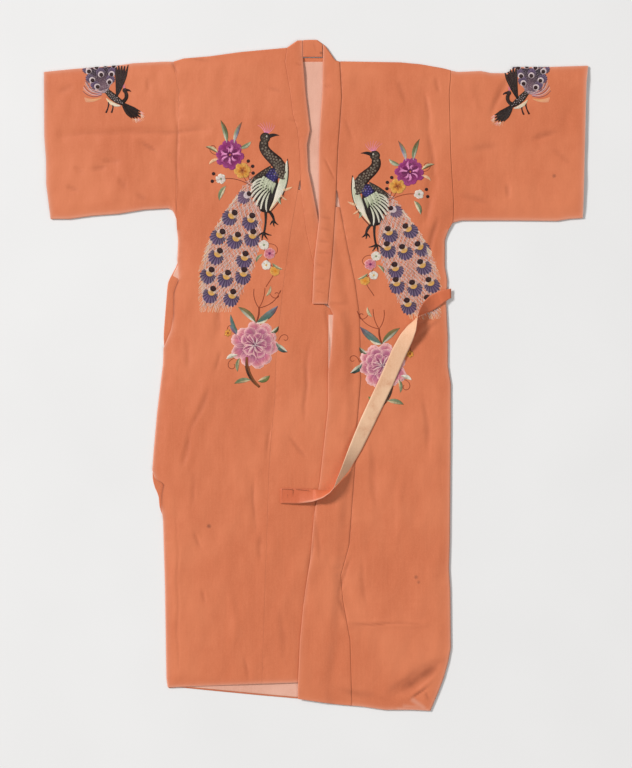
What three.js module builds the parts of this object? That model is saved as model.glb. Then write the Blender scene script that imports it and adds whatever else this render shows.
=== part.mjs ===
// A lined silk wedding kimono laid flat on its back. Millimetres, +Z up.
// X runs to the viewer's right, Y towards the neck, and the origin is under the middle of the garment.
// Left and right in names are the wearer's, so the right half lies at negative X.
import * as THREE from "three";

const { lerp, clamp, smoothstep, degToRad } = THREE.MathUtils;

// Driving sizes
const CLOTH_WALL = 1.4; // silk, interlining and its own lining pressed together
const LINING_WALL = 1;
const BAND_WALL = 1.8; // the collar band is folded double
const BELT_WALL = 1.3;
const BELT_WIDTH = 31;
const SEAM_GAP = 0.3; // between two pieces at a seam
const LAYER_GAP = 0.6; // between two layers that lie on each other
const ROW_STEP = 46; // the longest step down a panel
const COLUMN_STEP = 38; // the widest step across a panel
const EDGE_RADIUS = 2.6; // at the middle of the wall, where the front folds round to the back
const EDGE_ANGLES = [0, 50, 90];
const NECK_Y = 651.5; // the back neck seam

// Heights of the middle of each wall
const BACK_Z = CLOTH_WALL / 2;
const LINING_Z = CLOTH_WALL + SEAM_GAP + LINING_WALL / 2;
const FRONT_Z = LINING_Z + LINING_WALL / 2 + SEAM_GAP + CLOTH_WALL / 2;
const OVERLAP_LIFT = BAND_WALL + LAYER_GAP;
const TURN_ROOM = 0.2; // more room where a folded edge bends
const BACK_INSET = CLOTH_WALL + SEAM_GAP + TURN_ROOM; // the back's edge lies inside the folded edge

// How full the cloth lies above its lowest height, and how far that fades in from an edge
const FULLNESS = 1.8;
const FULLNESS_FADE = 30;

// Edges seen from above. Each row is one place on an edge.
const shoulderLine = [
  { x: -297, y: 642 }, { x: -271, y: 650 }, { x: -217, y: 654.5 }, { x: -156, y: 663 },
  { x: -59, y: 672 }, { x: 49, y: 644 }, { x: 172, y: 642 }, { x: 215, y: 638 },
  { x: 260, y: 630 }, { x: 283, y: 624 },
];
// The back's own top edge, lower at the neck, where the collar closes it.
const backTopLine = [
  { x: -297, y: 642 }, { x: -271, y: 650 }, { x: -217, y: 654.5 }, { x: -156, y: 663 }, { x: -68, y: 671.2 },
  { x: -61, y: 653 }, { x: 20, y: 653 }, { x: 36, y: 643 }, { x: 172, y: 642 }, { x: 215, y: 638 },
  { x: 260, y: 630 }, { x: 283, y: 624 },
];
const backHem = [
  { x: -304, y: -642 }, { x: -281, y: -640 }, { x: -221, y: -646 }, { x: -128, y: -655 },
  { x: -38, y: -663 }, { x: 40, y: -674.5 }, { x: 93, y: -679 }, { x: 141, y: -686 },
  { x: 195, y: -686 }, { x: 235, y: -688 },
];
const rightFrontHem = [
  { x: -304, y: -640 }, { x: -227, y: -637 }, { x: -128, y: -633 }, { x: -37, y: -630 }, { x: 20, y: -628 },
];
const rightArmhole = [{ y: 672, x: -298 }, { y: 585, x: -281 }, { y: 335, x: -287 }, { y: 298, x: -285 }];
const leftArmhole = [
  { y: 672, x: 281 }, { y: 577, x: 273 }, { y: 454, x: 276 }, { y: 351, x: 282 }, { y: 314, x: 281 },
  { y: 298, x: 272 },
];
const rightSide = [
  { y: 298, x: -285 }, { y: 277, x: -283 }, { y: 226, x: -285 }, { y: 193, x: -303 },
  { y: 180, x: -305 }, { y: 93, x: -312 }, { y: 23, x: -314 }, { y: -75, x: -326 },
  { y: -153, x: -333 }, { y: -194, x: -336 }, { y: -207, x: -336 }, { y: -227, x: -332 },
  { y: -247, x: -323 }, { y: -270, x: -321 }, { y: -293, x: -314 }, { y: -428, x: -310 },
  { y: -621, x: -307 }, { y: -642, x: -304 },
];
// The right front's own edge leaves the outline at two places where the side seam stands open.
const rightFrontSide = [
  { y: 298, x: -285 }, { y: 277, x: -283 }, { y: 238, x: -284.5 }, { y: 198, x: -282 },
  { y: 170, x: -292 }, { y: 121, x: -292.5 }, { y: 93, x: -297 }, { y: 55, x: -313 },
  { y: 23, x: -314 }, { y: -75, x: -326 }, { y: -153, x: -333 }, { y: -194, x: -336 },
  { y: -212, x: -330 }, { y: -223, x: -313 }, { y: -246, x: -317 }, { y: -272, x: -317 },
  { y: -293, x: -314 }, { y: -428, x: -310 }, { y: -621, x: -307 }, { y: -642, x: -304 },
];
// closed is 1 where the front folds down round the side, and inset is 1 where the back makes room for that.
const rightSideClosed = [
  { y: 310, closed: 0, inset: 0 }, { y: 298, closed: 0, inset: 1 }, { y: 286, closed: 1, inset: 1 },
  { y: 250, closed: 1, inset: 1 }, { y: 238, closed: 0, inset: 1 }, { y: 226, closed: 0, inset: 0 },
  { y: 75, closed: 0, inset: 0 }, { y: 55, closed: 0, inset: 1 }, { y: 43, closed: 1, inset: 1 },
  { y: -180, closed: 1, inset: 1 }, { y: -194, closed: 0, inset: 1 }, { y: -207, closed: 0, inset: 0 },
  { y: -278, closed: 0, inset: 0 }, { y: -293, closed: 0, inset: 1 }, { y: -305, closed: 1, inset: 1 },
];
const leftSideClosed = [
  { y: 310, closed: 0, inset: 0 }, { y: 298, closed: 0, inset: 1 }, { y: 286, closed: 1, inset: 1 },
];
const leftSide = [
  { y: 298, x: 272 }, { y: 277, x: 265 }, { y: 222, x: 265 }, { y: 195, x: 270 }, { y: 148, x: 267.5 },
  { y: 80, x: 271 }, { y: 19, x: 271 }, { y: -18, x: 277 }, { y: -114, x: 277 }, { y: -338, x: 275 },
  { y: -397, x: 273.5 }, { y: -442, x: 276 }, { y: -559, x: 277 }, { y: -586, x: 272 },
  { y: -619, x: 263 }, { y: -653, x: 250 }, { y: -688, x: 235 },
];
const rightBandSeam = [
  { y: 690, x: -59.5 }, { y: 670, x: -59.5 }, { y: 642, x: -63.5 }, { y: 581, x: -53 }, { y: 533, x: -47 },
  { y: 503, x: -38 }, { y: 451, x: -33 }, { y: 380, x: -31 }, { y: 298, x: -20.5 }, { y: 195, x: 2 },
  { y: 146, x: 14 },
];
const rightBandEdge = [
  { y: 690, x: -27 }, { y: 652, x: -27 }, { y: 574, x: -20.5 }, { y: 503, x: -12 }, { y: 472, x: -18.5 },
  { y: 421, x: -16 }, { y: 380, x: -7 }, { y: 314, x: 6 }, { y: 236, x: 29 }, { y: 146, x: 45 },
];
const leftBandSeam = [
  { y: 690, x: 49 }, { y: 644, x: 49 }, { y: 570, x: 53 }, { y: 462, x: 45 }, { y: 359, x: 41 },
  { y: 257, x: 35 }, { y: 145, x: 24.6 },
];
const leftBandEdge = [
  { y: 690, x: 14 }, { y: 652, x: 14 }, { y: 581, x: 13 }, { y: 513, x: 8 }, { y: 462, x: 5.5 },
  { y: 314, x: 5.3 }, { y: 236, x: -4 }, { y: 145, x: -8 },
];
const collarTop = [
  { x: -64, y: 664 }, { x: -59, y: 672 }, { x: -38, y: 686.5 }, { x: -14, y: 688 }, { x: 2, y: 688 },
  { x: 18.5, y: 676 }, { x: 39, y: 646 }, { x: 50, y: 643 },
];
const rightOkumiSeam = [
  { y: 405, x: -32.5 }, { y: 298, x: -51 }, { y: 175, x: -68 }, { y: 31, x: -82 }, { y: -51, x: -84 },
  { y: -112, x: -90 }, { y: -194, x: -96 }, { y: -640, x: -111 },
];
const rightOkumiEdge = [
  { y: 146, x: 14 }, { y: 130, x: 40 }, { y: 93, x: 49 }, { y: -51, x: 56 }, { y: -215, x: 45 },
  { y: -430, x: 29 }, { y: -631, x: 12 },
];
const leftOkumiSeam = [
  { y: 380, x: 43 }, { y: 345, x: 49 }, { y: 263, x: 64.6 }, { y: 191, x: 80 }, { y: 119, x: 90 },
  { y: -10, x: 92 }, { y: -92, x: 85 }, { y: -188, x: 80 }, { y: -348, x: 68 }, { y: -410, x: 51 },
  { y: -461, x: 55 }, { y: -543, x: 70 }, { y: -680, x: 74 },
];
const leftOkumiEdge = [
  { y: 145, x: 24.6 }, { y: 124, x: 35 }, { y: 62, x: 32 }, { y: 5, x: 24.6 }, { y: -65, x: 24.6 },
  { y: -215, x: 8 }, { y: -286, x: -4 }, { y: -379, x: -12 }, { y: -430, x: -20.5 }, { y: -471, x: -26 },
  { y: -543, x: -33 }, { y: -631, x: -37 }, { y: -663, x: -37 },
];
const rightSleeveTop = [
  { x: -558, y: 622 }, { x: -498, y: 628 }, { x: -405, y: 635 }, { x: -369, y: 640 }, { x: -305, y: 643 },
  { x: -284, y: 643 },
];
const rightSleeveBottom = [
  { x: -544, y: 320 }, { x: -507, y: 320 }, { x: -460, y: 326.5 }, { x: -405, y: 330.5 }, { x: -353, y: 339 },
  { x: -302, y: 342 }, { x: -292, y: 336 }, { x: -286, y: 318 },
];
const leftSleeveTop = [
  { x: 274, y: 625 }, { x: 289, y: 622 }, { x: 336, y: 624 }, { x: 359, y: 619.6 }, { x: 391.5, y: 619.6 },
  { x: 404, y: 632 }, { x: 465, y: 632 }, { x: 558, y: 635 },
];
const leftSleeveBottom = [
  { x: 275, y: 308 }, { x: 283.5, y: 313 }, { x: 298, y: 317 }, { x: 406, y: 317 }, { x: 494, y: 316 },
  { x: 518, y: 320 }, { x: 547, y: 322 },
];
const rightCuff = [
  { y: 640, x: -558 }, { y: 491, x: -557 }, { y: 444, x: -553.5 }, { y: 392, x: -553 }, { y: 320, x: -544 },
];
const leftCuff = [
  { y: 640, x: 558.8 }, { y: 603, x: 554.5 }, { y: 511, x: 552 }, { y: 423, x: 550 }, { y: 365, x: 548.6 },
  { y: 320, x: 547 },
];

// The largest folds: a soft ridge, or a trough where the height is negative, from one end to the other.
const folds = [
  { name: "right sleeve crease", x0: -520, y0: 492, x1: -225, y1: 503, halfWidth: 16, height: -1.2 },
  { name: "right sleeve lower trough", x0: -358, y0: 474, x1: -293, y1: 417, halfWidth: 18, height: -1 },
  { name: "left sleeve crease", x0: 395, y0: 620, x1: 358, y1: 530, halfWidth: 14, height: -1.3 },
  { name: "left chest trough", x0: 222, y0: 575, x1: 240, y1: 400, halfWidth: 18, height: -1.2 },
  { name: "left chest lower trough", x0: 240, y0: 400, x1: 224, y1: 315, halfWidth: 18, height: -1.3 },
  { name: "right side ridge", x0: -217, y0: -20, x1: -275, y1: -188, halfWidth: 26, height: 1.3 },
  { name: "right side trough", x0: -200, y0: 133, x1: -196, y1: 90, halfWidth: 16, height: -1 },
  { name: "right overlap trough", x0: -82, y0: 60, x1: -96, y1: -194, halfWidth: 20, height: -0.9 },
  { name: "right skirt trough", x0: -133, y0: -198, x1: -123, y1: -321, halfWidth: 18, height: -1.1 },
  { name: "left seam trough", x0: 48, y0: -400, x1: 70, y1: -475, halfWidth: 22, height: -1.5 },
  { name: "left skirt tuck", x0: 59, y0: -510, x1: 223, y1: -510, halfWidth: 12, height: 1.3 },
  { name: "left hem corner", x0: 166, y0: -649, x1: 244, y1: -598, halfWidth: 26, height: -1.5 },
];

// The belt's middle line. heading is its direction in degrees from +X, turn is how far it has rolled over
// about that line (0 and 360 show the coral face, 180 the tan one), and share is the part of the belt's
// width that is spread out there.
const beltLine = [
  { node: "belt_wrap", x: 277, y: 168, heading: 180, turn: 360, share: 0.62 },
  { node: "belt_wrap", x: 268, y: 165, heading: 186, turn: 360, share: 0.72 },
  { node: "belt_wrap", x: 256, y: 160, heading: 198, turn: 360, share: 0.86 },
  { node: "belt_wrap", x: 240, y: 150, heading: 212, turn: 354, share: 0.95 },
  { node: "belt_wrap", x: 226, y: 139, heading: 219, turn: 335, share: 0.85 },
  { node: "belt_wrap", x: 215, y: 129, heading: 226, turn: 305, share: 0.66 },
  { node: "belt_wrap", x: 208.5, y: 121, heading: 234, turn: 277, share: 0.5 },
  { node: "belt_run", x: 207.5, y: 119.5, heading: 235, turn: 272, share: 0.5 },
  { node: "belt_run", x: 203, y: 110, heading: 239, turn: 248, share: 0.6 },
  { node: "belt_run", x: 196, y: 97, heading: 241, turn: 220, share: 0.8 },
  { node: "belt_run", x: 184, y: 75, heading: 242, turn: 196, share: 0.95 },
  { node: "belt_run", x: 170, y: 47, heading: 244, turn: 183, share: 1 },
  { node: "belt_run", x: 143.5, y: -14, heading: 245, turn: 180, share: 1 },
  { node: "belt_run", x: 105.6, y: -94, heading: 245, turn: 178, share: 0.97 },
  { node: "belt_run", x: 81, y: -148, heading: 243, turn: 163, share: 0.88 },
  { node: "belt_run", x: 60.5, y: -190, heading: 240, turn: 140, share: 0.74 },
  { node: "belt_run", x: 45.5, y: -215, heading: 236, turn: 115, share: 0.6 },
  { node: "belt_run", x: 36.5, y: -230, heading: 226, turn: 93, share: 0.5 },
  { node: "belt_tip", x: 35.4, y: -231.2, heading: 222, turn: 88, share: 0.5 },
  { node: "belt_tip", x: 27, y: -237.5, heading: 208, turn: 72, share: 0.55 },
  { node: "belt_tip", x: 12, y: -242.5, heading: 194, turn: 46, share: 0.72 },
  { node: "belt_tip", x: -8, y: -245.5, heading: 185, turn: 24, share: 0.9 },
  { node: "belt_tip", x: -35, y: -247, heading: 181, turn: 8, share: 1 },
  { node: "belt_tip", x: -73, y: -247, heading: 179, turn: 0, share: 1 },
];
const BELT_STEP = 13;
const BELT_REST_REACH = 7; // the belt rests on the highest cloth within this reach

const colours = { coral: 0xd57d58, rim: 0xd98a68, pink: 0xe3ab93, tan: 0xe0b48e };

// Reads a table whose rows run steadily along the key, straight between rows and level past the ends.
function along(table, key, place, wanted) {
  const rising = table[table.length - 1][key] > table[0][key];
  const rows = rising ? table : [...table].reverse();
  if (place <= rows[0][key]) return rows[0][wanted];
  for (let i = 1; i < rows.length; i++) {
    if (place <= rows[i][key]) {
      const share = (place - rows[i - 1][key]) / (rows[i][key] - rows[i - 1][key]);
      return lerp(rows[i - 1][wanted], rows[i][wanted], share);
    }
  }
  return rows[rows.length - 1][wanted];
}

const xAt = (edge, y) => along(edge, "y", y, "x");
const yAt = (edge, x) => along(edge, "x", x, "y");

// How much of a soft fold of the given half width is left at a distance from its line.
const swell = (distance, halfWidth) =>
  distance >= halfWidth ? 0 : 0.5 + 0.5 * Math.cos((Math.PI * distance) / halfWidth);

function distanceToLine(x, y, line) {
  const dx = line.x1 - line.x0;
  const dy = line.y1 - line.y0;
  const share = clamp(((x - line.x0) * dx + (y - line.y0) * dy) / (dx * dx + dy * dy), 0, 1);
  return Math.hypot(x - line.x0 - share * dx, y - line.y0 - share * dy);
}

const UNDERARM_Y = 320;
const UNDERARM_EASE = 0.6;

// How far a place lies inside the garment's outline.
function insideOutline(x, y) {
  const rightArm = xAt(rightArmhole, y);
  const leftArm = xAt(leftArmhole, y);
  if (y > UNDERARM_Y - 20 && x < rightArm) {
    return Math.min(yAt(rightSleeveTop, x) - y, y - yAt(rightSleeveBottom, x));
  }
  if (y > UNDERARM_Y - 20 && x > leftArm) {
    return Math.min(yAt(leftSleeveTop, x) - y, y - yAt(leftSleeveBottom, x));
  }
  const ease = Math.max(0, y - UNDERARM_Y) * UNDERARM_EASE;
  const fromRight = x - (y > 298 ? rightArm : xAt(rightSide, y)) + ease;
  const fromLeft = (y > 298 ? leftArm : xAt(leftSide, y)) - x + ease;
  return Math.min(yAt(shoulderLine, x) - y, y - yAt(backHem, x), fromRight, fromLeft);
}

// The fullness and folds of the upper cloth above its lowest height.
function relief(x, y) {
  let height = FULLNESS;
  for (const fold of folds) {
    height += fold.height * swell(distanceToLine(x, y, fold), fold.halfWidth);
  }
  return height * smoothstep(insideOutline(x, y), 2, FULLNESS_FADE);
}

// 1 where the left front lies over the right one, falling to 0 past the right one's free edge.
function overlapped(x, y) {
  const underEdge = y > 146 ? xAt(rightBandEdge, y) : xAt(rightOkumiEdge, y);
  return (1 - smoothstep(x, underEdge + 4, underEdge + 26)) * (1 - smoothstep(y, 338, 385));
}

// The left front's free edge, seen from above.
const topEdge = (y) => (y > 145 ? xAt(leftBandEdge, y) : xAt(leftOkumiEdge, y));

function rightFrontZ(x, y) {
  const pressed = y > 350 ? 0 : smoothstep(x, topEdge(y) - 14, topEdge(y) + 12);
  return FRONT_Z + relief(x, y) * (1 - pressed);
}

const SLIT = { x: 36, y0: 150, y1: -20, halfWidth: 26, height: 1.4 };

function leftFrontZ(x, y) {
  const slitLine = { x0: SLIT.x, y0: SLIT.y0 - SLIT.halfWidth, x1: SLIT.x, y1: SLIT.y1 + SLIT.halfWidth };
  const open = SLIT.height * swell(Math.max(0, distanceToLine(x, y, slitLine) - 16), SLIT.halfWidth);
  return FRONT_Z + relief(x, y) + OVERLAP_LIFT * overlapped(x, y) + open;
}

// A closed wall of the given thickness about a grid of points on its middle surface.
function clothWall(name, grid, thickness, colour) {
  const rowCount = grid.length;
  const columnCount = grid[0].length;
  const at = (r, c) => grid[clamp(r, 0, rowCount - 1)][clamp(c, 0, columnCount - 1)];
  const normals = grid.map((row, r) =>
    row.map((_, c) => {
      const across = at(r, c + 1).clone().sub(at(r, c - 1));
      const up = at(r - 1, c).clone().sub(at(r + 1, c));
      return across.cross(up).normalize();
    }),
  );
  const positions = [];
  for (const side of [1, -1]) {
    grid.forEach((row, r) =>
      row.forEach((point, c) => {
        const moved = point.clone().addScaledVector(normals[r][c], (side * thickness) / 2);
        positions.push(moved.x, moved.y, Math.max(moved.z, 0));
      }),
    );
  }
  const size = rowCount * columnCount;
  const top = (r, c) => r * columnCount + c;
  const under = (r, c) => size + top(r, c);
  const faces = [];
  const quad = (a, b, c, d) => faces.push(a, b, c, a, c, d);
  for (let r = 0; r < rowCount - 1; r++) {
    for (let c = 0; c < columnCount - 1; c++) {
      quad(top(r, c), top(r + 1, c), top(r + 1, c + 1), top(r, c + 1));
      quad(under(r, c), under(r, c + 1), under(r + 1, c + 1), under(r + 1, c));
    }
    quad(top(r + 1, 0), top(r, 0), under(r, 0), under(r + 1, 0));
    const last = columnCount - 1;
    quad(top(r, last), top(r + 1, last), under(r + 1, last), under(r, last));
  }
  for (let c = 0; c < columnCount - 1; c++) {
    quad(top(0, c), top(0, c + 1), under(0, c + 1), under(0, c));
    const last = rowCount - 1;
    quad(top(last, c + 1), top(last, c), under(last, c), under(last, c + 1));
  }
  return meshOf(name, positions, faces, colour);
}

function meshOf(name, positions, faces, colour) {
  const geometry = new THREE.BufferGeometry();
  geometry.setAttribute("position", new THREE.Float32BufferAttribute(positions, 3));
  geometry.setIndex(faces);
  geometry.computeVertexNormals();
  const material = new THREE.MeshStandardMaterial({ color: colour, roughness: 0.55, metalness: 0 });
  const mesh = new THREE.Mesh(geometry, material);
  mesh.name = name;
  return mesh;
}

// Shares from 0 to 1 no further apart than a step, with one at each wanted share.
const CLOSEST_SHARES = 0.002;

function evenSteps(wanted, step) {
  const inside = wanted.filter((share) => share > CLOSEST_SHARES && share < 1 - CLOSEST_SHARES);
  const stops = [...inside.sort((a, b) => a - b), 1];
  const kept = [0];
  for (const stop of stops) {
    const last = kept[kept.length - 1];
    if (stop < 1 && stop - last < CLOSEST_SHARES) continue;
    const count = Math.max(1, Math.ceil((stop - last) / step - 0.001));
    for (let i = 1; i <= count; i++) kept.push(lerp(last, stop, i / count));
  }
  return kept;
}

// The folded edge's rows: how far each lies from the outline, and how far below the flat cloth.
const foldedEdge = EDGE_ANGLES.map((degrees) => ({
  away: CLOTH_WALL / 2 + EDGE_RADIUS * (1 - Math.cos(degToRad(degrees))),
  drop: EDGE_RADIUS * (1 - Math.sin(degToRad(degrees))),
}));
const FLAT_EDGE_STEP = EDGE_RADIUS / 2;

/*
A panel between four edges. cut gives left(y), right(y), top(x), bottom(x) and height(x, y), the height of
the middle of the wall. leftRows, rightRows and topColumns are places on those edges that need a row or a
column, rowStep and step are the longest steps, and gap is kept clear inside each edge. folded says which edges fold down round the back: left
and right as a share from 0 to 1 at each y, and top as true.
*/
function panel(name, thickness, colour, cut) {
  const folded = cut.folded ?? {};
  const deepest = foldedEdge.length - 1;
  const gap = cut.gap ?? SEAM_GAP / 2;
  const topAway = folded.top ? foldedEdge[deepest].away : gap;
  const awayFrom = (closed, i) => lerp(gap + i * FLAT_EDGE_STEP, foldedEdge[i].away, closed);
  const insideOf = (fold) => (fold ? (y) => awayFrom(fold(y), deepest) : () => gap);
  const leftIn = insideOf(folded.left);
  const rightIn = insideOf(folded.right);

  // Follows both edges and both ends at once, so a few rounds settle the place.
  const settle = (u, share, down, fromLeft, fromRight) => {
    let x = cut.left(0);
    let y = 0;
    for (let i = 0; i < 8; i++) {
      y = lerp(cut.top(x) - down.away, cut.bottom(x), share);
      x = lerp(cut.left(y) + fromLeft(y), cut.right(y) - fromRight(y), u);
    }
    return { x, y };
  };
  const levelFirst = { away: topAway, drop: 0 };
  const shareAt = (edge, y) => {
    const x = edge(y);
    return (cut.top(x) - topAway - y) / (cut.top(x) - topAway - cut.bottom(x));
  };
  const shares = evenSteps(
    [
      ...(cut.leftRows ?? []).map((y) => shareAt(cut.left, y)),
      ...(cut.rightRows ?? []).map((y) => shareAt(cut.right, y)),
    ],
    (cut.rowStep ?? ROW_STEP) / (cut.top(cut.middleX) - cut.bottom(cut.middleX)),
  );
  const first = settle(0, 0, levelFirst, leftIn, rightIn);
  const widest = Math.max(...shares.map((share) => {
    const { y } = settle(0.5, share, levelFirst, leftIn, rightIn);
    return cut.right(y) - cut.left(y);
  }));
  const topWidth = cut.right(first.y) - cut.left(first.y);
  const across = evenSteps(
    (cut.topColumns ?? []).map((x) => (x - cut.left(first.y)) / topWidth),
    (cut.step ?? COLUMN_STEP) / widest,
  );

  const rowAt = (share, down) => {
    const points = [];
    const add = (u, fromLeft, fromRight, dropAt) => {
      const { x, y } = settle(u, share, down, fromLeft, fromRight);
      points.push(new THREE.Vector3(x, y, cut.height(x, y) - Math.max(dropAt(y), down.drop)));
    };
    for (let i = 0; folded.left && i < deepest; i++) {
      add(0, (y) => awayFrom(folded.left(y), i), rightIn, (y) => foldedEdge[i].drop * folded.left(y));
    }
    for (const u of across) add(u, leftIn, rightIn, () => 0);
    for (let i = deepest - 1; folded.right && i >= 0; i--) {
      add(1, leftIn, (y) => awayFrom(folded.right(y), i), (y) => foldedEdge[i].drop * folded.right(y));
    }
    return points;
  };
  const grid = folded.top ? foldedEdge.slice(0, deepest).map((down) => rowAt(0, down)) : [];
  for (const share of shares) grid.push(rowAt(share, levelFirst));
  return clothWall(name, grid, thickness, colour);
}

const placesOf = (key, ...edges) => edges.flatMap((edge) => edge.map((row) => row[key]));
const rightClosed = (y) => along(rightSideClosed, "y", y, "closed");
const leftClosed = (y) => along(leftSideClosed, "y", y, "closed");
const rightInset = (y, open, closed) => lerp(open, closed, along(rightSideClosed, "y", y, "inset"));
const leftInset = (y, open, closed) => lerp(open, closed, along(leftSideClosed, "y", y, "inset"));
const UNDERARM = 298;
const rightEdge = (y) => (y > UNDERARM ? xAt(rightArmhole, y) : xAt(rightSide, y));
const leftEdge = (y) => (y > UNDERARM ? xAt(leftArmhole, y) : xAt(leftSide, y));
const leftFrontHem = (x) => yAt(backHem, x);
const backRows = {
  leftRows: placesOf("y", rightArmhole, rightSide, rightSideClosed),
  rightRows: placesOf("y", leftArmhole, leftSide, leftSideClosed),
  topColumns: placesOf("x", backTopLine),
  middleX: 0,
  rowStep: 120,
  step: 110,
};
const BAND_GAP = 0.3;
const LINING_SIDE_INSET = 6;
const LINING_OPEN_INSET = 2;
const LINING_TOP_INSET = 10;

function makeBack() {
  return panel("back", CLOTH_WALL, colours.coral, {
    ...backRows,
    left: (y) => rightEdge(y) + rightInset(y, 0, BACK_INSET - SEAM_GAP / 2),
    right: (y) => leftEdge(y) - leftInset(y, 0, BACK_INSET - SEAM_GAP / 2),
    top: (x) => yAt(backTopLine, x) - BACK_INSET,
    bottom: (x) => yAt(backHem, x) + 3 * smoothstep(x, -40, -20),
    height: () => BACK_Z,
  });
}

function makeBackLining() {
  return panel("back_lining", LINING_WALL, colours.pink, {
    leftRows: placesOf("y", rightSide, rightSideClosed),
    middleX: 0,
    rowStep: 120,
    step: 70,
    left: (y) => rightEdge(y) + rightInset(y, LINING_OPEN_INSET, LINING_SIDE_INSET),
    right: (y) => leftEdge(y) - leftInset(y, LINING_OPEN_INSET, LINING_SIDE_INSET),
    top: (x) => yAt(backTopLine, x) - LINING_TOP_INSET,
    bottom: (x) => yAt(backHem, x) + lerp(3, 8, smoothstep(x, -40, -20)),
    height: () => LINING_Z,
  });
}

function makeRightHalf() {
  const seamTop = 400;
  const bandEnd = 146;
  const front = panel("front_right", CLOTH_WALL, colours.coral, {
    left: (y) => (y > UNDERARM ? xAt(rightArmhole, y) : xAt(rightFrontSide, y)),
    right: (y) => (y > seamTop ? xAt(rightBandSeam, y) : xAt(rightOkumiSeam, y)),
    top: (x) => yAt(shoulderLine, x),
    bottom: (x) => yAt(rightFrontHem, x),
    middleX: -180,
    height: rightFrontZ,
    leftRows: placesOf("y", rightArmhole, rightFrontSide, rightSideClosed),
    rightRows: [seamTop, ...placesOf("y", rightBandSeam, rightOkumiSeam)],
    topColumns: placesOf("x", shoulderLine),
    folded: { left: rightClosed, top: true },
  });
  const okumi = panel("okumi_right", CLOTH_WALL, colours.coral, {
    left: (y) => xAt(rightOkumiSeam, y),
    right: (y) => (y > bandEnd ? xAt(rightBandSeam, y) : xAt(rightOkumiEdge, y)),
    top: () => 380,
    bottom: (x) => yAt(rightFrontHem, x),
    middleX: -60,
    height: rightFrontZ,
    leftRows: placesOf("y", rightOkumiSeam),
    rightRows: placesOf("y", rightOkumiEdge, rightBandSeam),
    step: 28,
  });
  const band = panel("collar_right", BAND_WALL, colours.coral, {
    left: (y) => xAt(rightBandSeam, y),
    right: (y) => xAt(rightBandEdge, y),
    top: (x) => yAt(collarTop, x),
    bottom: () => bandEnd + 1,
    middleX: -40,
    height: (x, y) => rightFrontZ(x, y) + (BAND_WALL - CLOTH_WALL) / 2,
    leftRows: placesOf("y", rightBandSeam, rightOkumiSeam),
    rightRows: placesOf("y", rightBandEdge),
    step: 14,
    gap: BAND_GAP,
    folded: { top: true },
  });
  return [front, okumi, band];
}

function makeLeftHalf() {
  const seamTop = 380;
  const bandEnd = 145;
  const front = panel("front_left", CLOTH_WALL, colours.coral, {
    left: (y) => (y > seamTop ? xAt(leftBandSeam, y) : xAt(leftOkumiSeam, y)),
    right: leftEdge,
    top: (x) => yAt(shoulderLine, x),
    bottom: leftFrontHem,
    middleX: 170,
    height: leftFrontZ,
    leftRows: placesOf("y", leftOkumiSeam, leftBandSeam),
    rightRows: placesOf("y", leftArmhole, leftSide, leftSideClosed),
    topColumns: placesOf("x", shoulderLine),
    folded: { right: leftClosed, top: true },
  });
  const okumi = panel("okumi_left", CLOTH_WALL, colours.coral, {
    left: (y) => (y > bandEnd ? xAt(leftBandSeam, y) : xAt(leftOkumiEdge, y)),
    right: (y) => xAt(leftOkumiSeam, y),
    top: () => 345,
    bottom: leftFrontHem,
    middleX: 30,
    height: leftFrontZ,
    leftRows: placesOf("y", leftOkumiEdge, leftBandSeam),
    rightRows: placesOf("y", leftOkumiSeam),
    step: 24,
  });
  const lining = panel("okumi_left_lining", LINING_WALL, colours.pink, {
    left: () => 25.5,
    right: () => 44,
    top: () => 124,
    bottom: () => 8,
    middleX: 35,
    height: (x, y) => FRONT_Z + OVERLAP_LIFT + relief(x, y) - (CLOTH_WALL - LINING_WALL) / 2,
    step: 9,
  });
  const band = panel("collar_left", BAND_WALL, colours.coral, {
    left: (y) => xAt(leftBandEdge, y),
    right: (y) => xAt(leftBandSeam, y),
    top: (x) => yAt(collarTop, x),
    bottom: () => bandEnd + 1,
    middleX: 30,
    height: (x, y) => leftFrontZ(x, y) + (BAND_WALL - CLOTH_WALL) / 2,
    leftRows: placesOf("y", leftBandEdge),
    rightRows: placesOf("y", leftBandSeam),
    step: 14,
    gap: BAND_GAP,
    folded: { top: true },
  });
  return [front, okumi, lining, band];
}

function makeCollarBack() {
  return panel("collar_back", BAND_WALL, colours.coral, {
    left: () => -26.7,
    right: () => 13.4,
    top: (x) => yAt(collarTop, x),
    bottom: () => NECK_Y + 1,
    middleX: -7,
    height: () => FRONT_Z,
    step: 14,
    rowStep: 12,
    folded: { top: true },
  });
}

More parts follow.
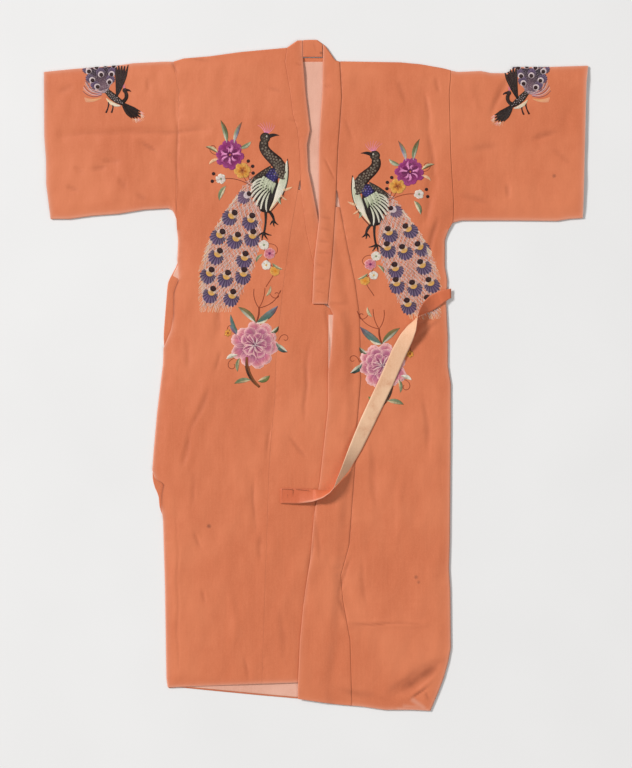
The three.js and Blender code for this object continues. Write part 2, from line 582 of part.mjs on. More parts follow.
// A sleeve is a flattened tube: each ring runs along the floor, round the fold at the top and back over.
function makeSleeve(name, cuff, armhole, topLine, bottomLine, sections) {
  const radius = (FRONT_Z - BACK_Z) / 2;
  const bottomEnd = yAt(bottomLine, xAt(armhole, UNDERARM_Y)) + CLOTH_WALL / 2 + radius;
  const topEnd = yAt(topLine, xAt(armhole, 600)) - CLOTH_WALL / 2 - radius;
  const upward = evenSteps(armhole.map((row) => (row.y - bottomEnd) / (topEnd - bottomEnd)), 0.125);
  const turns = [-60, -20, 20, 60];
  const outlineInset = CLOTH_WALL / 2 + radius;
  const ringAt = (share) => {
    const placeX = (y) => lerp(xAt(cuff, y), xAt(armhole, y) + Math.sign(xAt(cuff, y)) * (SEAM_GAP / 2), share);
    const top = yAt(topLine, placeX(600)) - outlineInset;
    const bottom = yAt(bottomLine, placeX(330)) + outlineInset;
    const points = [];
    const add = (y, z, ny, nz) => {
      const x = placeX(y);
      points.push({ middle: new THREE.Vector3(x, y, z), out: new THREE.Vector3(0, ny, nz) });
    };
    for (const up of upward) add(lerp(bottom, top, up), BACK_Z, 0, -1);
    for (const degrees of turns) {
      const [ny, nz] = [Math.cos(degToRad(degrees)), Math.sin(degToRad(degrees))];
      add(top + radius * ny, BACK_Z + radius + radius * nz, ny, nz);
    }
    for (const up of [...upward].reverse()) {
      const y = lerp(bottom, top, up);
      add(y, FRONT_Z + relief(placeX(y), y), 0, 1);
    }
    for (const degrees of [...turns].reverse()) {
      const [ny, nz] = [-Math.cos(degToRad(degrees)), Math.sin(degToRad(degrees))];
      add(bottom + radius * ny, BACK_Z + radius + radius * nz, ny, nz);
    }
    return points;
  };
  const rings = sections.map(ringAt);
  return tubeWall(name, rings, CLOTH_WALL, colours.coral);
}

// A tube open at both ends, from rings of middle points with their outward directions.
function tubeWall(name, rings, thickness, colour) {
  const count = rings[0].length;
  const positions = [];
  for (const side of [1, -1]) {
    for (const ring of rings) {
      for (const { middle, out } of ring) {
        const moved = middle.clone().addScaledVector(out, (side * thickness) / 2);
        positions.push(moved.x, moved.y, Math.max(moved.z, 0));
      }
    }
  }
  const size = rings.length * count;
  const outer = (r, k) => r * count + (k % count);
  const innerAt = (r, k) => size + outer(r, k);
  const faces = [];
  const quad = (a, b, c, d) => faces.push(a, b, c, a, c, d);
  const runsLeft = rings[0][0].middle.x > rings[1][0].middle.x;
  for (let r = 0; r < rings.length - 1; r++) {
    for (let k = 0; k < count; k++) {
      quad(outer(r, k), outer(r, k + 1), outer(r + 1, k + 1), outer(r + 1, k));
      quad(innerAt(r, k), innerAt(r + 1, k), innerAt(r + 1, k + 1), innerAt(r, k + 1));
    }
  }
  const last = rings.length - 1;
  for (let k = 0; k < count; k++) {
    quad(outer(0, k), innerAt(0, k), innerAt(0, k + 1), outer(0, k + 1));
    quad(outer(last, k + 1), innerAt(last, k + 1), innerAt(last, k), outer(last, k));
  }
  if (runsLeft) {
    for (let i = 0; i < faces.length; i += 3) [faces[i + 1], faces[i + 2]] = [faces[i + 2], faces[i + 1]];
  }
  return meshOf(name, positions, faces, colour);
}

// The top of the cloth that the belt lies on, falling away past the left side's folded edge.
function clothTop(x, y) {
  const past = x - xAt(leftSide, y);
  const flat = FRONT_Z + CLOTH_WALL / 2;
  if (past > 0) return lerp(flat, SEAM_GAP, smoothstep(past, -2, 9));
  const onTop = x > topEdge(y) - 1;
  return (onTop ? leftFrontZ(x, y) : rightFrontZ(x, y)) + CLOTH_WALL / 2;
}

function highestCloth(x, y) {
  const reach = BELT_REST_REACH;
  const places = [[0, 0], [reach, 0], [-reach, 0], [0, reach], [0, -reach]];
  return Math.max(...places.map(([dx, dy]) => clothTop(x + dx, y + dy)));
}

function makeBelt() {
  const crossing = [-1, 0, 1];
  const sectionAt = (row) => {
    const heading = degToRad(row.heading);
    const turn = degToRad(row.turn);
    const side = new THREE.Vector3(-Math.sin(heading), Math.cos(heading), 0);
    const across = side.multiplyScalar(Math.cos(turn)).add(new THREE.Vector3(0, 0, Math.sin(turn)));
    const half = (BELT_WIDTH * row.share) / 2;
    const places = crossing.map((share) => across.clone().multiplyScalar(share * half));
    const rest = Math.max(...places.map((p) => highestCloth(row.x + p.x, row.y + p.y) - p.z));
    const middle = new THREE.Vector3(row.x, row.y, rest + LAYER_GAP + BELT_WALL / 2);
    return places.map((p) => p.add(middle));
  };
  return ["belt_wrap", "belt_run", "belt_tip"].map((name) => {
    const rows = beltLine.filter((row) => row.node === name);
    const grid = [sectionAt(rows[0])];
    for (let i = 1; i < rows.length; i++) {
      const [from, to] = [rows[i - 1], rows[i]];
      const steps = Math.max(1, Math.round(Math.hypot(to.x - from.x, to.y - from.y) / BELT_STEP));
      for (let k = 1; k <= steps; k++) {
        const row = {};
        for (const key of ["x", "y", "heading", "turn", "share"]) row[key] = lerp(from[key], to[key], k / steps);
        grid.push(sectionAt(row));
      }
    }
    return clothWall(name, grid, BELT_WALL, name === "belt_run" ? colours.tan : colours.rim);
  });
}

const sleeveSections = [0, 0.04, 0.14, 0.26, 0.38, 0.5, 0.62, 0.74, 0.86, 0.95, 1];

const kimono = new THREE.Group();
kimono.name = "wedding_kimono";
kimono.add(makeBack(), makeBackLining());
kimono.add(...makeRightHalf(), ...makeLeftHalf(), makeCollarBack());
kimono.add(
  makeSleeve("sleeve_right", rightCuff, rightArmhole, rightSleeveTop, rightSleeveBottom, sleeveSections),
  makeSleeve("sleeve_left", leftCuff, leftArmhole, leftSleeveTop, leftSleeveBottom, sleeveSections),
);
kimono.add(...makeBelt());

export default kimono;
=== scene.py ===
"""A lined silk wedding kimono laid flat on its back, front upwards, with a sewn-on belt.

Sizes are in millimetres in the frame of the solids: X to the viewer's right, Y towards the neck and Z up.
They become metres when a mesh is made. Left and right in names are the wearer's.
"""

import math

import bpy
import numpy as np
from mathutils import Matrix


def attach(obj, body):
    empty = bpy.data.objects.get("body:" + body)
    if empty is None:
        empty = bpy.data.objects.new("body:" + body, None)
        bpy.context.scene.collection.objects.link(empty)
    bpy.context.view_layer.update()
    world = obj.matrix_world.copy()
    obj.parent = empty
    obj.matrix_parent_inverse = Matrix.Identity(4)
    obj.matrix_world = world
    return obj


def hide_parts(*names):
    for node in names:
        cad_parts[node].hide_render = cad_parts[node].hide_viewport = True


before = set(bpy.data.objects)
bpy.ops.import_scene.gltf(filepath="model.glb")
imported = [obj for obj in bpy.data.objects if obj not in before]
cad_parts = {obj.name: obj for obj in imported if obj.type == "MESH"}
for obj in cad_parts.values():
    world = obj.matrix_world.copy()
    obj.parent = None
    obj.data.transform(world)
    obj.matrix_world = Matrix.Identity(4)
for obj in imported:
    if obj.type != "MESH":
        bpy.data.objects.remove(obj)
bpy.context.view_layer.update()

MM = 0.001

# Driving sizes
CLOTH_WALL = 1.4
LINING_WALL = 1.0
BAND_WALL = 1.8
BELT_WALL = 1.3
BELT_WIDTH = 31
SEAM_GAP = 0.3
LAYER_GAP = 0.6
EDGE_RADIUS = 2.6
NECK_Y = 651.5
UNDERARM_Y = 298
RIGHT_BAND_END_Y = 146  # below a band's end the overlap panel's free edge goes on
LEFT_BAND_END_Y = 145
RIGHT_OKUMI_TOP_Y = 380  # where each overlap panel's cloth starts
LEFT_OKUMI_TOP_Y = 345
RIGHT_FRONT_BEND_Y = 400  # where each front's inner edge leaves the band for the overlap's seam
LEFT_FRONT_BEND_Y = 380

BACK_Z = CLOTH_WALL / 2
LINING_Z = CLOTH_WALL + SEAM_GAP + LINING_WALL / 2
FRONT_Z = LINING_Z + LINING_WALL / 2 + SEAM_GAP + CLOTH_WALL / 2
OVERLAP_LIFT = BAND_WALL + LAYER_GAP
TURN_ROOM = 0.2
BACK_INSET = CLOTH_WALL + SEAM_GAP + TURN_ROOM
FOLD_RADIUS = (FRONT_Z - BACK_Z) / 2  # a sleeve's fold, at the middle of its wall
FOLD_MIDDLE_Z = BACK_Z + FOLD_RADIUS
FULLNESS = 1.8
FULLNESS_FADE = (2, 30)  # distances inside the outline
ARM_EASE_START = 22  # above the underarm, where a sleeve's seam counts less and less as an edge
ARM_EASE = 0.6
OVERLAP_FADE = (4, 26)  # distances past the right front's free edge
OVERLAP_TOP_FADE = (338, 385)
PRESSED_TOP_Y = 350
PRESSED_FROM, PRESSED_TO = 14, 12  # before and past the left front's free edge
OPENED_LINE = (36, 124, 36, 6)  # the short stretch where the left overlap's edge gapes
OPENED_LIFT, OPENED_CORE, OPENED_FADE = 1.4, 16, 26


def table(columns, *rows):
    """A short table as named columns, in rising order of its first column."""
    ordered = sorted(rows)
    return {name: np.array([row[i] for row in ordered], float) for i, name in enumerate(columns.split())}


# Edges seen from above, as in the solids.
SHOULDER_LINE = table(
    "x y", (-297, 642), (-271, 650), (-217, 654.5), (-156, 663), (-59, 672), (49, 644), (172, 642),
    (215, 638), (260, 630), (283, 624),
)
BACK_TOP_LINE = table(
    "x y", (-297, 642), (-271, 650), (-217, 654.5), (-156, 663), (-68, 671.2), (-61, 653), (20, 653),
    (36, 643), (172, 642), (215, 638), (260, 630), (283, 624),
)
BACK_HEM = table(
    "x y", (-304, -642), (-281, -640), (-221, -646), (-128, -655), (-38, -663), (40, -674.5), (93, -679),
    (141, -686), (195, -686), (235, -688),
)
RIGHT_FRONT_HEM = table("x y", (-304, -640), (-227, -637), (-128, -633), (-37, -630), (20, -628))
RIGHT_ARMHOLE = table("y x", (672, -298), (585, -281), (335, -287), (298, -285))
LEFT_ARMHOLE = table("y x", (672, 281), (577, 273), (454, 276), (351, 282), (314, 281), (298, 272))
RIGHT_SIDE = table(
    "y x", (298, -285), (277, -283), (226, -285), (193, -303), (180, -305), (93, -312), (23, -314),
    (-75, -326), (-153, -333), (-194, -336), (-207, -336), (-227, -332), (-247, -323), (-270, -321),
    (-293, -314), (-428, -310), (-621, -307), (-642, -304),
)
RIGHT_FRONT_SIDE = table(
    "y x", (298, -285), (277, -283), (238, -284.5), (198, -282), (170, -292), (121, -292.5), (93, -297),
    (55, -313), (23, -314), (-75, -326), (-153, -333), (-194, -336), (-212, -330), (-223, -313),
    (-246, -317), (-272, -317), (-293, -314), (-428, -310), (-621, -307), (-642, -304),
)
# closed is 1 where the front folds down round the side, and inset is 1 where the back makes room for it.
RIGHT_SIDE_CLOSED = table(
    "y closed inset", (310, 0, 0), (298, 0, 1), (286, 1, 1), (250, 1, 1), (238, 0, 1), (226, 0, 0),
    (75, 0, 0), (55, 0, 1), (43, 1, 1), (-180, 1, 1), (-194, 0, 1), (-207, 0, 0), (-278, 0, 0),
    (-293, 0, 1), (-305, 1, 1),
)
LEFT_SIDE_CLOSED = table("y closed inset", (310, 0, 0), (298, 0, 1), (286, 1, 1))
LEFT_SIDE = table(
    "y x", (298, 272), (277, 265), (222, 265), (195, 270), (148, 267.5), (80, 271), (19, 271), (-18, 277),
    (-114, 277), (-338, 275), (-397, 273.5), (-442, 276), (-559, 277), (-586, 272), (-619, 263),
    (-653, 250), (-688, 235),
)
RIGHT_BAND_SEAM = table(
    "y x", (690, -59.5), (670, -59.5), (642, -63.5), (581, -53), (533, -47), (503, -38), (451, -33),
    (380, -31), (298, -20.5), (195, 2), (146, 14),
)
RIGHT_BAND_EDGE = table(
    "y x", (690, -27), (652, -27), (574, -20.5), (503, -12), (472, -18.5), (421, -16), (380, -7), (314, 6),
    (236, 29), (146, 45),
)
LEFT_BAND_SEAM = table("y x", (690, 49), (644, 49), (570, 53), (462, 45), (359, 41), (257, 35), (145, 24.6))
LEFT_BAND_EDGE = table(
    "y x", (690, 14), (652, 14), (581, 13), (513, 8), (462, 5.5), (314, 5.3), (236, -4), (145, -8),
)
COLLAR_TOP = table(
    "x y", (-64, 664), (-59, 672), (-38, 686.5), (-14, 688), (2, 688), (18.5, 676), (39, 646), (50, 643),
)
RIGHT_OKUMI_SEAM = table(
    "y x", (405, -32.5), (298, -51), (175, -68), (31, -82), (-51, -84), (-112, -90), (-194, -96),
    (-640, -111),
)
RIGHT_OKUMI_EDGE = table(
    "y x", (146, 14), (130, 40), (93, 49), (-51, 56), (-215, 45), (-430, 29), (-631, 12),
)
LEFT_OKUMI_SEAM = table(
    "y x", (380, 43), (345, 49), (263, 64.6), (191, 80), (119, 90), (-10, 92), (-92, 85), (-188, 80),
    (-348, 68), (-410, 51), (-461, 55), (-543, 70), (-680, 74),
)
LEFT_OKUMI_EDGE = table(
    "y x", (145, 24.6), (124, 35), (62, 32), (5, 24.6), (-65, 24.6), (-215, 8), (-286, -4), (-379, -12),
    (-430, -20.5), (-471, -26), (-543, -33), (-631, -37), (-663, -37),
)
RIGHT_SLEEVE_TOP = table(
    "x y", (-558, 622), (-498, 628), (-405, 635), (-369, 640), (-305, 643), (-284, 643),
)
RIGHT_SLEEVE_BOTTOM = table(
    "x y", (-544, 320), (-507, 320), (-460, 326.5), (-405, 330.5), (-353, 339), (-302, 342), (-292, 336),
    (-286, 318),
)
LEFT_SLEEVE_TOP = table(
    "x y", (274, 625), (289, 622), (336, 624), (359, 619.6), (391.5, 619.6), (404, 632), (465, 632),
    (558, 635),
)
LEFT_SLEEVE_BOTTOM = table(
    "x y", (275, 308), (283.5, 313), (298, 317), (406, 317), (494, 316), (518, 320), (547, 322),
)
RIGHT_CUFF = table("y x", (640, -558), (491, -557), (444, -553.5), (392, -553), (320, -544))
LEFT_CUFF = table("y x", (640, 558.8), (603, 554.5), (511, 552), (423, 550), (365, 548.6), (320, 547))

# Soft ridges, or troughs where the height is negative, as in the solids.
FOLDS = table(
    "x0 y0 x1 y1 half_width height",
    (-520, 492, -225, 503, 16, -1.2),
    (-358, 474, -293, 417, 18, -1.0),
    (395, 620, 358, 530, 14, -1.3),
    (222, 575, 240, 400, 18, -1.2),
    (240, 400, 224, 315, 18, -1.3),
    (-217, -20, -275, -188, 26, 1.3),
    (-200, 133, -196, 90, 16, -1.0),
    (-82, 60, -96, -194, 20, -0.9),
    (-133, -198, -123, -321, 18, -1.1),
    (48, -400, 70, -475, 22, -1.5),
    (59, -510, 223, -510, 12, 1.3),
    (166, -649, 244, -598, 26, -1.5),
)

# Smaller creases, in the photograph's pixels. Half width and height are millimetres.
CREASES = table(
    "u0 v0 u1 v1 half_width height",
    (61, 136, 163, 128, 8, -0.25),
    (130, 134, 207, 130, 7, -0.4),
    (100, 160, 121, 161, 8, -0.5),
    (90, 169, 107, 166, 7, -0.5),
    (74, 167, 84, 174, 7, -0.4),
    (66, 187, 80, 191, 8, -0.45),
    (137, 194, 147, 199, 9, -0.5),
    (141, 143, 158, 151, 7, -0.55),
    (150, 96, 168, 104, 9, 0.35),
    (58, 92, 74, 84, 10, -0.35),
    (118, 178, 127, 190, 9, -0.4),
    (147, 78, 149, 92, 6, -0.35),
    (531, 139, 559, 132, 9, -0.6),
    (506, 183, 508, 197, 8, -0.5),
    (509, 72, 491, 116, 9, -0.4),
    (468, 150, 500, 146, 12, -0.35),
    (462, 196, 490, 203, 10, -0.4),
    (552, 150, 570, 163, 9, -0.35),
    (470, 88, 480, 112, 11, 0.3),
    (425, 94, 429, 131, 7, -0.6),
    (429, 131, 434, 180, 8, -0.55),
    (431, 194, 425, 221, 8, -0.45),
    (436, 77, 440, 94, 6, -0.45),
    (398, 80, 405, 104, 10, -0.3),
    (321, 216, 334, 219, 4, -0.4),
    (319, 227, 332, 231, 3.5, -0.35),
    (318, 240, 330, 243, 4.5, -0.4),
    (317, 252, 331, 254, 3.5, -0.45),
    (315, 263, 328, 268, 4, -0.3),
    (314, 279, 328, 280, 5, -0.35),
    (314, 291, 327, 295, 4, -0.3),
    (325, 157, 335, 180, 4, -0.5),
    (303, 50, 302, 60, 3, -0.6),
    (314, 42, 317, 52, 2.5, -0.6),
    (295, 64, 303, 65, 3, -0.45),
    (323, 88, 333, 86, 3, -0.45),
    (287, 118, 301, 122, 4, -0.35),
    (218, 308, 219, 330, 8, -0.4),
    (210, 385, 190, 432, 10, -0.5),
    (190, 432, 182, 467, 10, -0.55),
    (195, 532, 201, 550, 6, -0.45),
    (203, 588, 205, 603, 6, -0.4),
    (306, 360, 305, 425, 7, -0.5),
    (309, 343, 306, 392, 6, -0.35),
    (260, 534, 261, 561, 8, -0.4),
    (313, 540, 308, 575, 6, -0.4),
    (308, 575, 303, 606, 6, -0.35),
    (231, 590, 236, 640, 14, 0.35),
    (281, 610, 284, 660, 12, -0.3),
    (186, 336, 189, 372, 9, -0.3),
    (343, 624, 419, 623, 4.5, -0.7),
    (335, 688, 389, 700, 12, -0.45),
    (397, 692, 435, 667, 12, -0.35),
    (371, 440, 376, 512, 12, -0.35),
    (402, 470, 398, 540, 14, 0.3),
    (424, 395, 429, 452, 10, -0.4),
    (361, 560, 366, 606, 9, -0.35),
    (412, 330, 432, 316, 5, -0.5),
    (409, 348, 436, 321, 6, -0.4),
    (425, 334, 440, 320, 6, -0.35),
    (315, 505, 316, 519, 3, -0.6),
    (317, 523, 320, 560, 8, -0.3),
    (177, 512, 178, 684, 4, -0.35),
    (220, 350, 215, 371, 5, -0.5),
    (270, 423, 267, 458, 5, -0.4),
    (253, 473, 255, 531, 5, -0.45),
    (350, 557, 338, 598, 6, -0.6),
    (338, 598, 347, 622, 7, -0.5),
    (288, 437, 307, 457, 7, -0.45),
    (326, 297, 331, 364, 4, -0.5),
    (437, 216, 428, 258, 8, -0.7),
    (392, 690, 444, 661, 15, -0.4),
    (408, 698, 441, 672, 6, 0.5),
    (411, 698, 428, 687, 4, -0.9),
    (425, 692, 429, 701, 4, -0.6),
    (170, 60, 178, 74, 6, -0.5),
    (187, 56, 214, 62, 6, -0.35),
    (176, 88, 178, 200, 6, -0.3),
    (196, 470, 192, 505, 7, -0.3),
    (245, 655, 249, 684, 7, -0.35),
    (268, 88, 283, 93, 7, -0.3),
    (345, 118, 352, 140, 7, -0.35),
    (390, 694, 448, 660, 24, -0.5),
)
CREASE_DEPTH = 2.8
CREASE_TAPER = (-0.14, 0.36)
WAVER = 1.6
LOWEST_RELIEF = -0.2
# The shadow in the slit along the opened side, at each y.
SLIT = table(
    "y depth", (200, 0), (192, 1), (121, 0.9), (76, 0), (-207, 0), (-219, 1), (-265, 0.9), (-280, 0),
)
SLIT_SHADE = 2.2
SLIT_WIDTH = 2.4
# Where the pale lining peeps out at the hem's turned-up corner, with a painted highlight on that fold, in
# pixels, with how much of it shows.
PEEPS = table(
    "u0 v0 u1 v1 half_width share",
    (413, 700, 424, 708, 8, 0.55),
    (404, 706, 422, 708, 6, 0.45),
    (398, 709, 428, 710.5, 5, 0.8),
)
RIPPLE_SEED = 7
RIPPLE_COUNT = 26
RIPPLE_HEIGHT = 0.1
RIPPLE_WIDTHS, RIPPLE_LENGTHS = (30, 150), (70, 420)

# The belt's middle line. heading is its direction in degrees from +X, turn is how far it has rolled over
# about that line (0 and 360 show the coral face, 180 the tan one), and share is the part of its width
# that is spread out there.
BELT_LINE = (
    ("x", "y", "heading", "turn", "share"),
    (277, 168, 180, 360, 0.62),
    (268, 165, 186, 360, 0.72),
    (256, 160, 198, 360, 0.86),
    (240, 150, 212, 354, 0.95),
    (226, 139, 219, 335, 0.85),
    (215, 129, 226, 305, 0.66),
    (208.5, 121, 234, 277, 0.5),
    (203, 110, 239, 248, 0.6),
    (196, 97, 241, 220, 0.8),
    (184, 75, 242, 196, 0.95),
    (170, 47, 244, 183, 1),
    (143.5, -14, 245, 180, 1),
    (105.6, -94, 245, 178, 0.97),
    (81, -148, 243, 163, 0.88),
    (60.5, -190, 240, 140, 0.74),
    (45.5, -215, 236, 115, 0.6),
    (36.5, -230, 226, 93, 0.5),
    (27, -237.5, 208, 72, 0.55),
    (12, -242.5, 194, 46, 0.72),
    (-8, -245.5, 185, 24, 0.9),
    (-35, -247, 181, 8, 1),
    (-73, -247, 179, 0, 1),
)
BELT_REST_REACH = 7
BELT_STEP = 3
BELT_COLUMNS = 13
BELT_STITCH_STEP = 1.7
BELT_STITCH = (0.12, 0.82)  # the share of each step that one stitch covers
# Lines of stitches on the belt's free end, in the photograph's pixels.
BELT_STITCHES = (
    ((282, 489), (293, 489.4), (293, 502), (282, 502), (282, 489)),
    ((296, 489.2), (309, 490.2)),
    ((296, 499.4), (304, 499.2)),
    ((287.6, 494), (287.6, 498)),
)

# Creases and embroidery are placed in the photograph's pixels. u runs to the right and v down.
PIXEL_MM = 2.05
PHOTO_MIDDLE_U = 316
PHOTO_MIDDLE_V = 375.25
SKIRT = -0.25
EMBROIDERY_ROOM = 0.5


def from_photo(u, v):
    return (u - PHOTO_MIDDLE_U) * PIXEL_MM, (PHOTO_MIDDLE_V - v) * PIXEL_MM


def silk(red, green, blue):
    """A linear colour from display values of 0 to 255."""
    shown = np.array([red, green, blue]) / 255
    return np.where(shown <= 0.04045, shown / 12.92, ((shown + 0.055) / 1.055) ** 2.4)


def x_at(edge, y):
    return np.interp(y, edge["y"], edge["x"])


def y_at(edge, x):
    return np.interp(x, edge["x"], edge["y"])


def side_line(edge):
    return lambda y: x_at(edge, y)


def end_line(edge):
    return lambda x: y_at(edge, x)


def bent_line(upper, lower, bend_y):
    """An edge down the cloth that follows one line above a place and another below it."""
    return lambda y: np.where(y > bend_y, x_at(upper, y), x_at(lower, y))


right_edge = bent_line(RIGHT_ARMHOLE, RIGHT_SIDE, UNDERARM_Y)
left_edge = bent_line(LEFT_ARMHOLE, LEFT_SIDE, UNDERARM_Y)
under_edge = bent_line(RIGHT_BAND_EDGE, RIGHT_OKUMI_EDGE, RIGHT_BAND_END_Y)
top_edge = bent_line(LEFT_BAND_EDGE, LEFT_OKUMI_EDGE, LEFT_BAND_END_Y)


def lerp(a, b, share):
    return a + (b - a) * share


def smoothstep(x, low, high):
    share = np.clip((x - low) / (high - low), 0, 1)
    return share * share * (3 - 2 * share)


def swell(distance, half_width):
    """How much of a soft fold is left at a distance from its line."""
    return np.where(distance < half_width, 0.5 + 0.5 * np.cos(np.pi * distance / half_width), 0)


def distance_to_line(x, y, x0, y0, x1, y1):
    dx, dy = x1 - x0, y1 - y0
    share = np.clip(((x - x0) * dx + (y - y0) * dy) / (dx * dx + dy * dy), 0, 1)
    return np.hypot(x - x0 - share * dx, y - y0 - share * dy)


# Heights of the cloth
def inside_outline(x, y):
    """How far a place lies inside the garment's outline."""
    right_arm, left_arm = x_at(RIGHT_ARMHOLE, y), x_at(LEFT_ARMHOLE, y)
    on_right = np.minimum(y_at(RIGHT_SLEEVE_TOP, x) - y, y - y_at(RIGHT_SLEEVE_BOTTOM, x))
    on_left = np.minimum(y_at(LEFT_SLEEVE_TOP, x) - y, y - y_at(LEFT_SLEEVE_BOTTOM, x))
    ease = np.maximum(0, y - UNDERARM_Y - ARM_EASE_START) * ARM_EASE
    from_right = x - right_edge(y) + ease
    from_left = left_edge(y) - x + ease
    on_body = np.minimum(
        np.minimum(y_at(SHOULDER_LINE, x) - y, y - y_at(BACK_HEM, x)), np.minimum(from_right, from_left)
    )
    upper = y > UNDERARM_Y + 2
    return np.where(upper & (x < right_arm), on_right, np.where(upper & (x > left_arm), on_left, on_body))


def ripples(x, y):
    """Low uneven waves, mostly down the cloth."""
    random = np.random.default_rng(RIPPLE_SEED)
    height = 0 * x
    for _ in range(RIPPLE_COUNT):
        across, down = random.uniform(*RIPPLE_WIDTHS), random.uniform(*RIPPLE_LENGTHS)
        tilt = random.choice((-1, 1))
        turn = 2 * np.pi * (x / across + tilt * y / down) + random.uniform(0, 2 * np.pi)
        height = height + RIPPLE_HEIGHT * random.uniform(0.4, 1.4) * np.sin(turn)
    return height


def creases(x, y):
    """The height of each of the smaller creases, on a wavering line and tapering to its ends."""
    x = x + WAVER * np.sin(y / 17 + x / 53)
    y = y + WAVER * np.sin(x / 19 - y / 61)
    for u0, v0, u1, v1, half_width, height in zip(*CREASES.values()):
        (x0, y0), (x1, y1) = from_photo(u0, v0), from_photo(u1, v1)
        along = ((x - x0) * (x1 - x0) + (y - y0) * (y1 - y0)) / ((x1 - x0) ** 2 + (y1 - y0) ** 2)
        taper = smoothstep(0.5 - np.abs(np.clip(along, 0, 1) - 0.5), *CREASE_TAPER)
        away = distance_to_line(x, y, x0, y0, x1, y1)
        yield height * taper * swell(away, half_width * (0.55 + 0.45 * taper))


def creasing(x, y):
    """How far a place lies down in the small creases, which sets the painted shade there."""
    return sum(np.maximum(0, -height) for height in creases(x, y))


def peeping(x, y):
    """How far the pale lining, with a painted highlight on its fold, peeps out at a place."""
    shown = 0 * x
    for u0, v0, u1, v1, half_width, share in zip(*PEEPS.values()):
        away = distance_to_line(x, y, *from_photo(u0, v0), *from_photo(u1, v1))
        shown = np.maximum(shown, share * swell(away, half_width))
    return shown


def relief(x, y):
    """The fullness and folds of the upper cloth above its lowest height."""
    height = np.full(np.shape(x), float(FULLNESS)) + ripples(x, y)
    for x0, y0, x1, y1, half_width, fold_height in zip(*FOLDS.values()):
        height = height + fold_height * swell(distance_to_line(x, y, x0, y0, x1, y1), half_width)
    height = height + CREASE_DEPTH * sum(creases(x, y))
    return np.maximum(height, LOWEST_RELIEF) * smoothstep(inside_outline(x, y), *FULLNESS_FADE)


def overlapped(x, y):
    """1 where the left front lies over the right one, falling to 0 past the right one's free edge."""
    start, end = (under_edge(y) + past for past in OVERLAP_FADE)
    return (1 - smoothstep(x, start, end)) * (1 - smoothstep(y, *OVERLAP_TOP_FADE))


def right_front_z(x, y):
    pressed = smoothstep(x, top_edge(y) - PRESSED_FROM, top_edge(y) + PRESSED_TO)
    return FRONT_Z + relief(x, y) * (1 - np.where(y > PRESSED_TOP_Y, 0, pressed))


def left_front_z(x, y):
    away = np.maximum(0, distance_to_line(x, y, *OPENED_LINE) - OPENED_CORE)
    opened = OPENED_LIFT * swell(away, OPENED_FADE)
    return FRONT_Z + relief(x, y) + OVERLAP_LIFT * overlapped(x, y) + opened


# Meshes
def mesh_object(name, points, faces, materials, face_materials, attributes=None):
    """An object from points in millimetres and quads, with one material index a face."""
    mesh = bpy.data.meshes.new(name)
    mesh.from_pydata((np.asarray(points) * MM).tolist(), [], np.asarray(faces).tolist())
    for material in materials:
        mesh.materials.append(material)
    mesh.polygons.foreach_set("material_index", np.asarray(face_materials, np.int32))
    mesh.polygons.foreach_set("use_smooth", np.ones(len(mesh.polygons), bool))
    for key, values in (attributes or {}).items():
        mesh.attributes.new(key, "FLOAT", "POINT").data.foreach_set("value", np.asarray(values, np.float32))
    mesh.validate()
    obj = bpy.data.objects.new(name, mesh)
    bpy.context.scene.collection.objects.link(obj)
    return obj


def grid_quads(rows, columns, closed=False):
    r = np.arange(rows - 1)[:, None]
    c = np.arange(columns if closed else columns - 1)[None, :]
    after = (c + 1) % columns
    corners = (r * columns + c, (r + 1) * columns + c, (r + 1) * columns + after, r * columns + after)
    return np.stack(corners, -1).reshape(-1, 4)


def wall_object(name, outer, inner, face_sets, materials, rim, painted_shade):
    """A closed wall from its outer and inner points. face_sets are the outer, inner and rim faces."""
    points = np.concatenate([outer.reshape(-1, 3), inner.reshape(-1, 3)])
    kinds = np.concatenate([np.full(len(faces), kind) for faces, kind in zip(face_sets, (0, 1, 0))])
    # The two marks carry the pale edges, partly a painted highlight, and the painted shade, for the
    # material.
    marks = {"rim": np.tile(rim.reshape(-1), 2), "painted_shade": np.tile(painted_shade.reshape(-1), 2)}
    return mesh_object(name, points, np.concatenate(face_sets), materials, kinds, marks)


def shell(name, grid, thickness, materials, rim, painted_shade, flush=None):
    """A closed thin wall about a grid of middle points: materials are the upper and the under face's."""
    rows, columns = grid.shape[:2]
    across = np.gradient(grid, axis=1)
    up = -np.gradient(grid, axis=0)
    normals = np.cross(across, up)
    normals /= np.linalg.norm(normals, axis=2, keepdims=True)
    half = np.full((rows, columns), thickness / 2)
    half[[0, -1], :] *= RIM_SHARE
    half[:, [{"left": -1, "right": 0}[flush]] if flush else [0, -1]] *= RIM_SHARE
    top = grid + normals * half[..., None]
    under = grid - normals * half[..., None]
    under[..., 2] = np.maximum(under[..., 2], 0)
    size = rows * columns
    upper_faces = grid_quads(rows, columns)
    under_faces = upper_faces[:, ::-1] + size
    index = np.arange(size).reshape(rows, columns)
    loop = np.concatenate([index[0, :-1], index[:-1, -1], index[-1, :0:-1], index[:0:-1, 0]])
    after = np.roll(loop, -1)
    rim_faces = np.stack([loop, after, after + size, loop + size], -1)
    return wall_object(name, top, under, (upper_faces, under_faces, rim_faces), materials, rim, painted_shade)


CLOTH = "_cloth"
RIM_WIDTH = 3.0
RIM_SHARE = 0.45
RIM_STEP = 0.8
SECOND_STEP = 2.3  # the step inside the rim's, as a multiple of it
FINE_STEP = 3.7
SETTLING_ROUNDS = 9
EDGE_ANGLES = np.radians([0, 22, 45, 67, 90])
FOLDED_AWAY = CLOTH_WALL / 2 + EDGE_RADIUS * (1 - np.cos(EDGE_ANGLES))
FOLDED_DROP = EDGE_RADIUS * (1 - np.sin(EDGE_ANGLES))
DEEPEST = len(EDGE_ANGLES) - 1
FLAT_EDGE_STEP = EDGE_RADIUS / 4


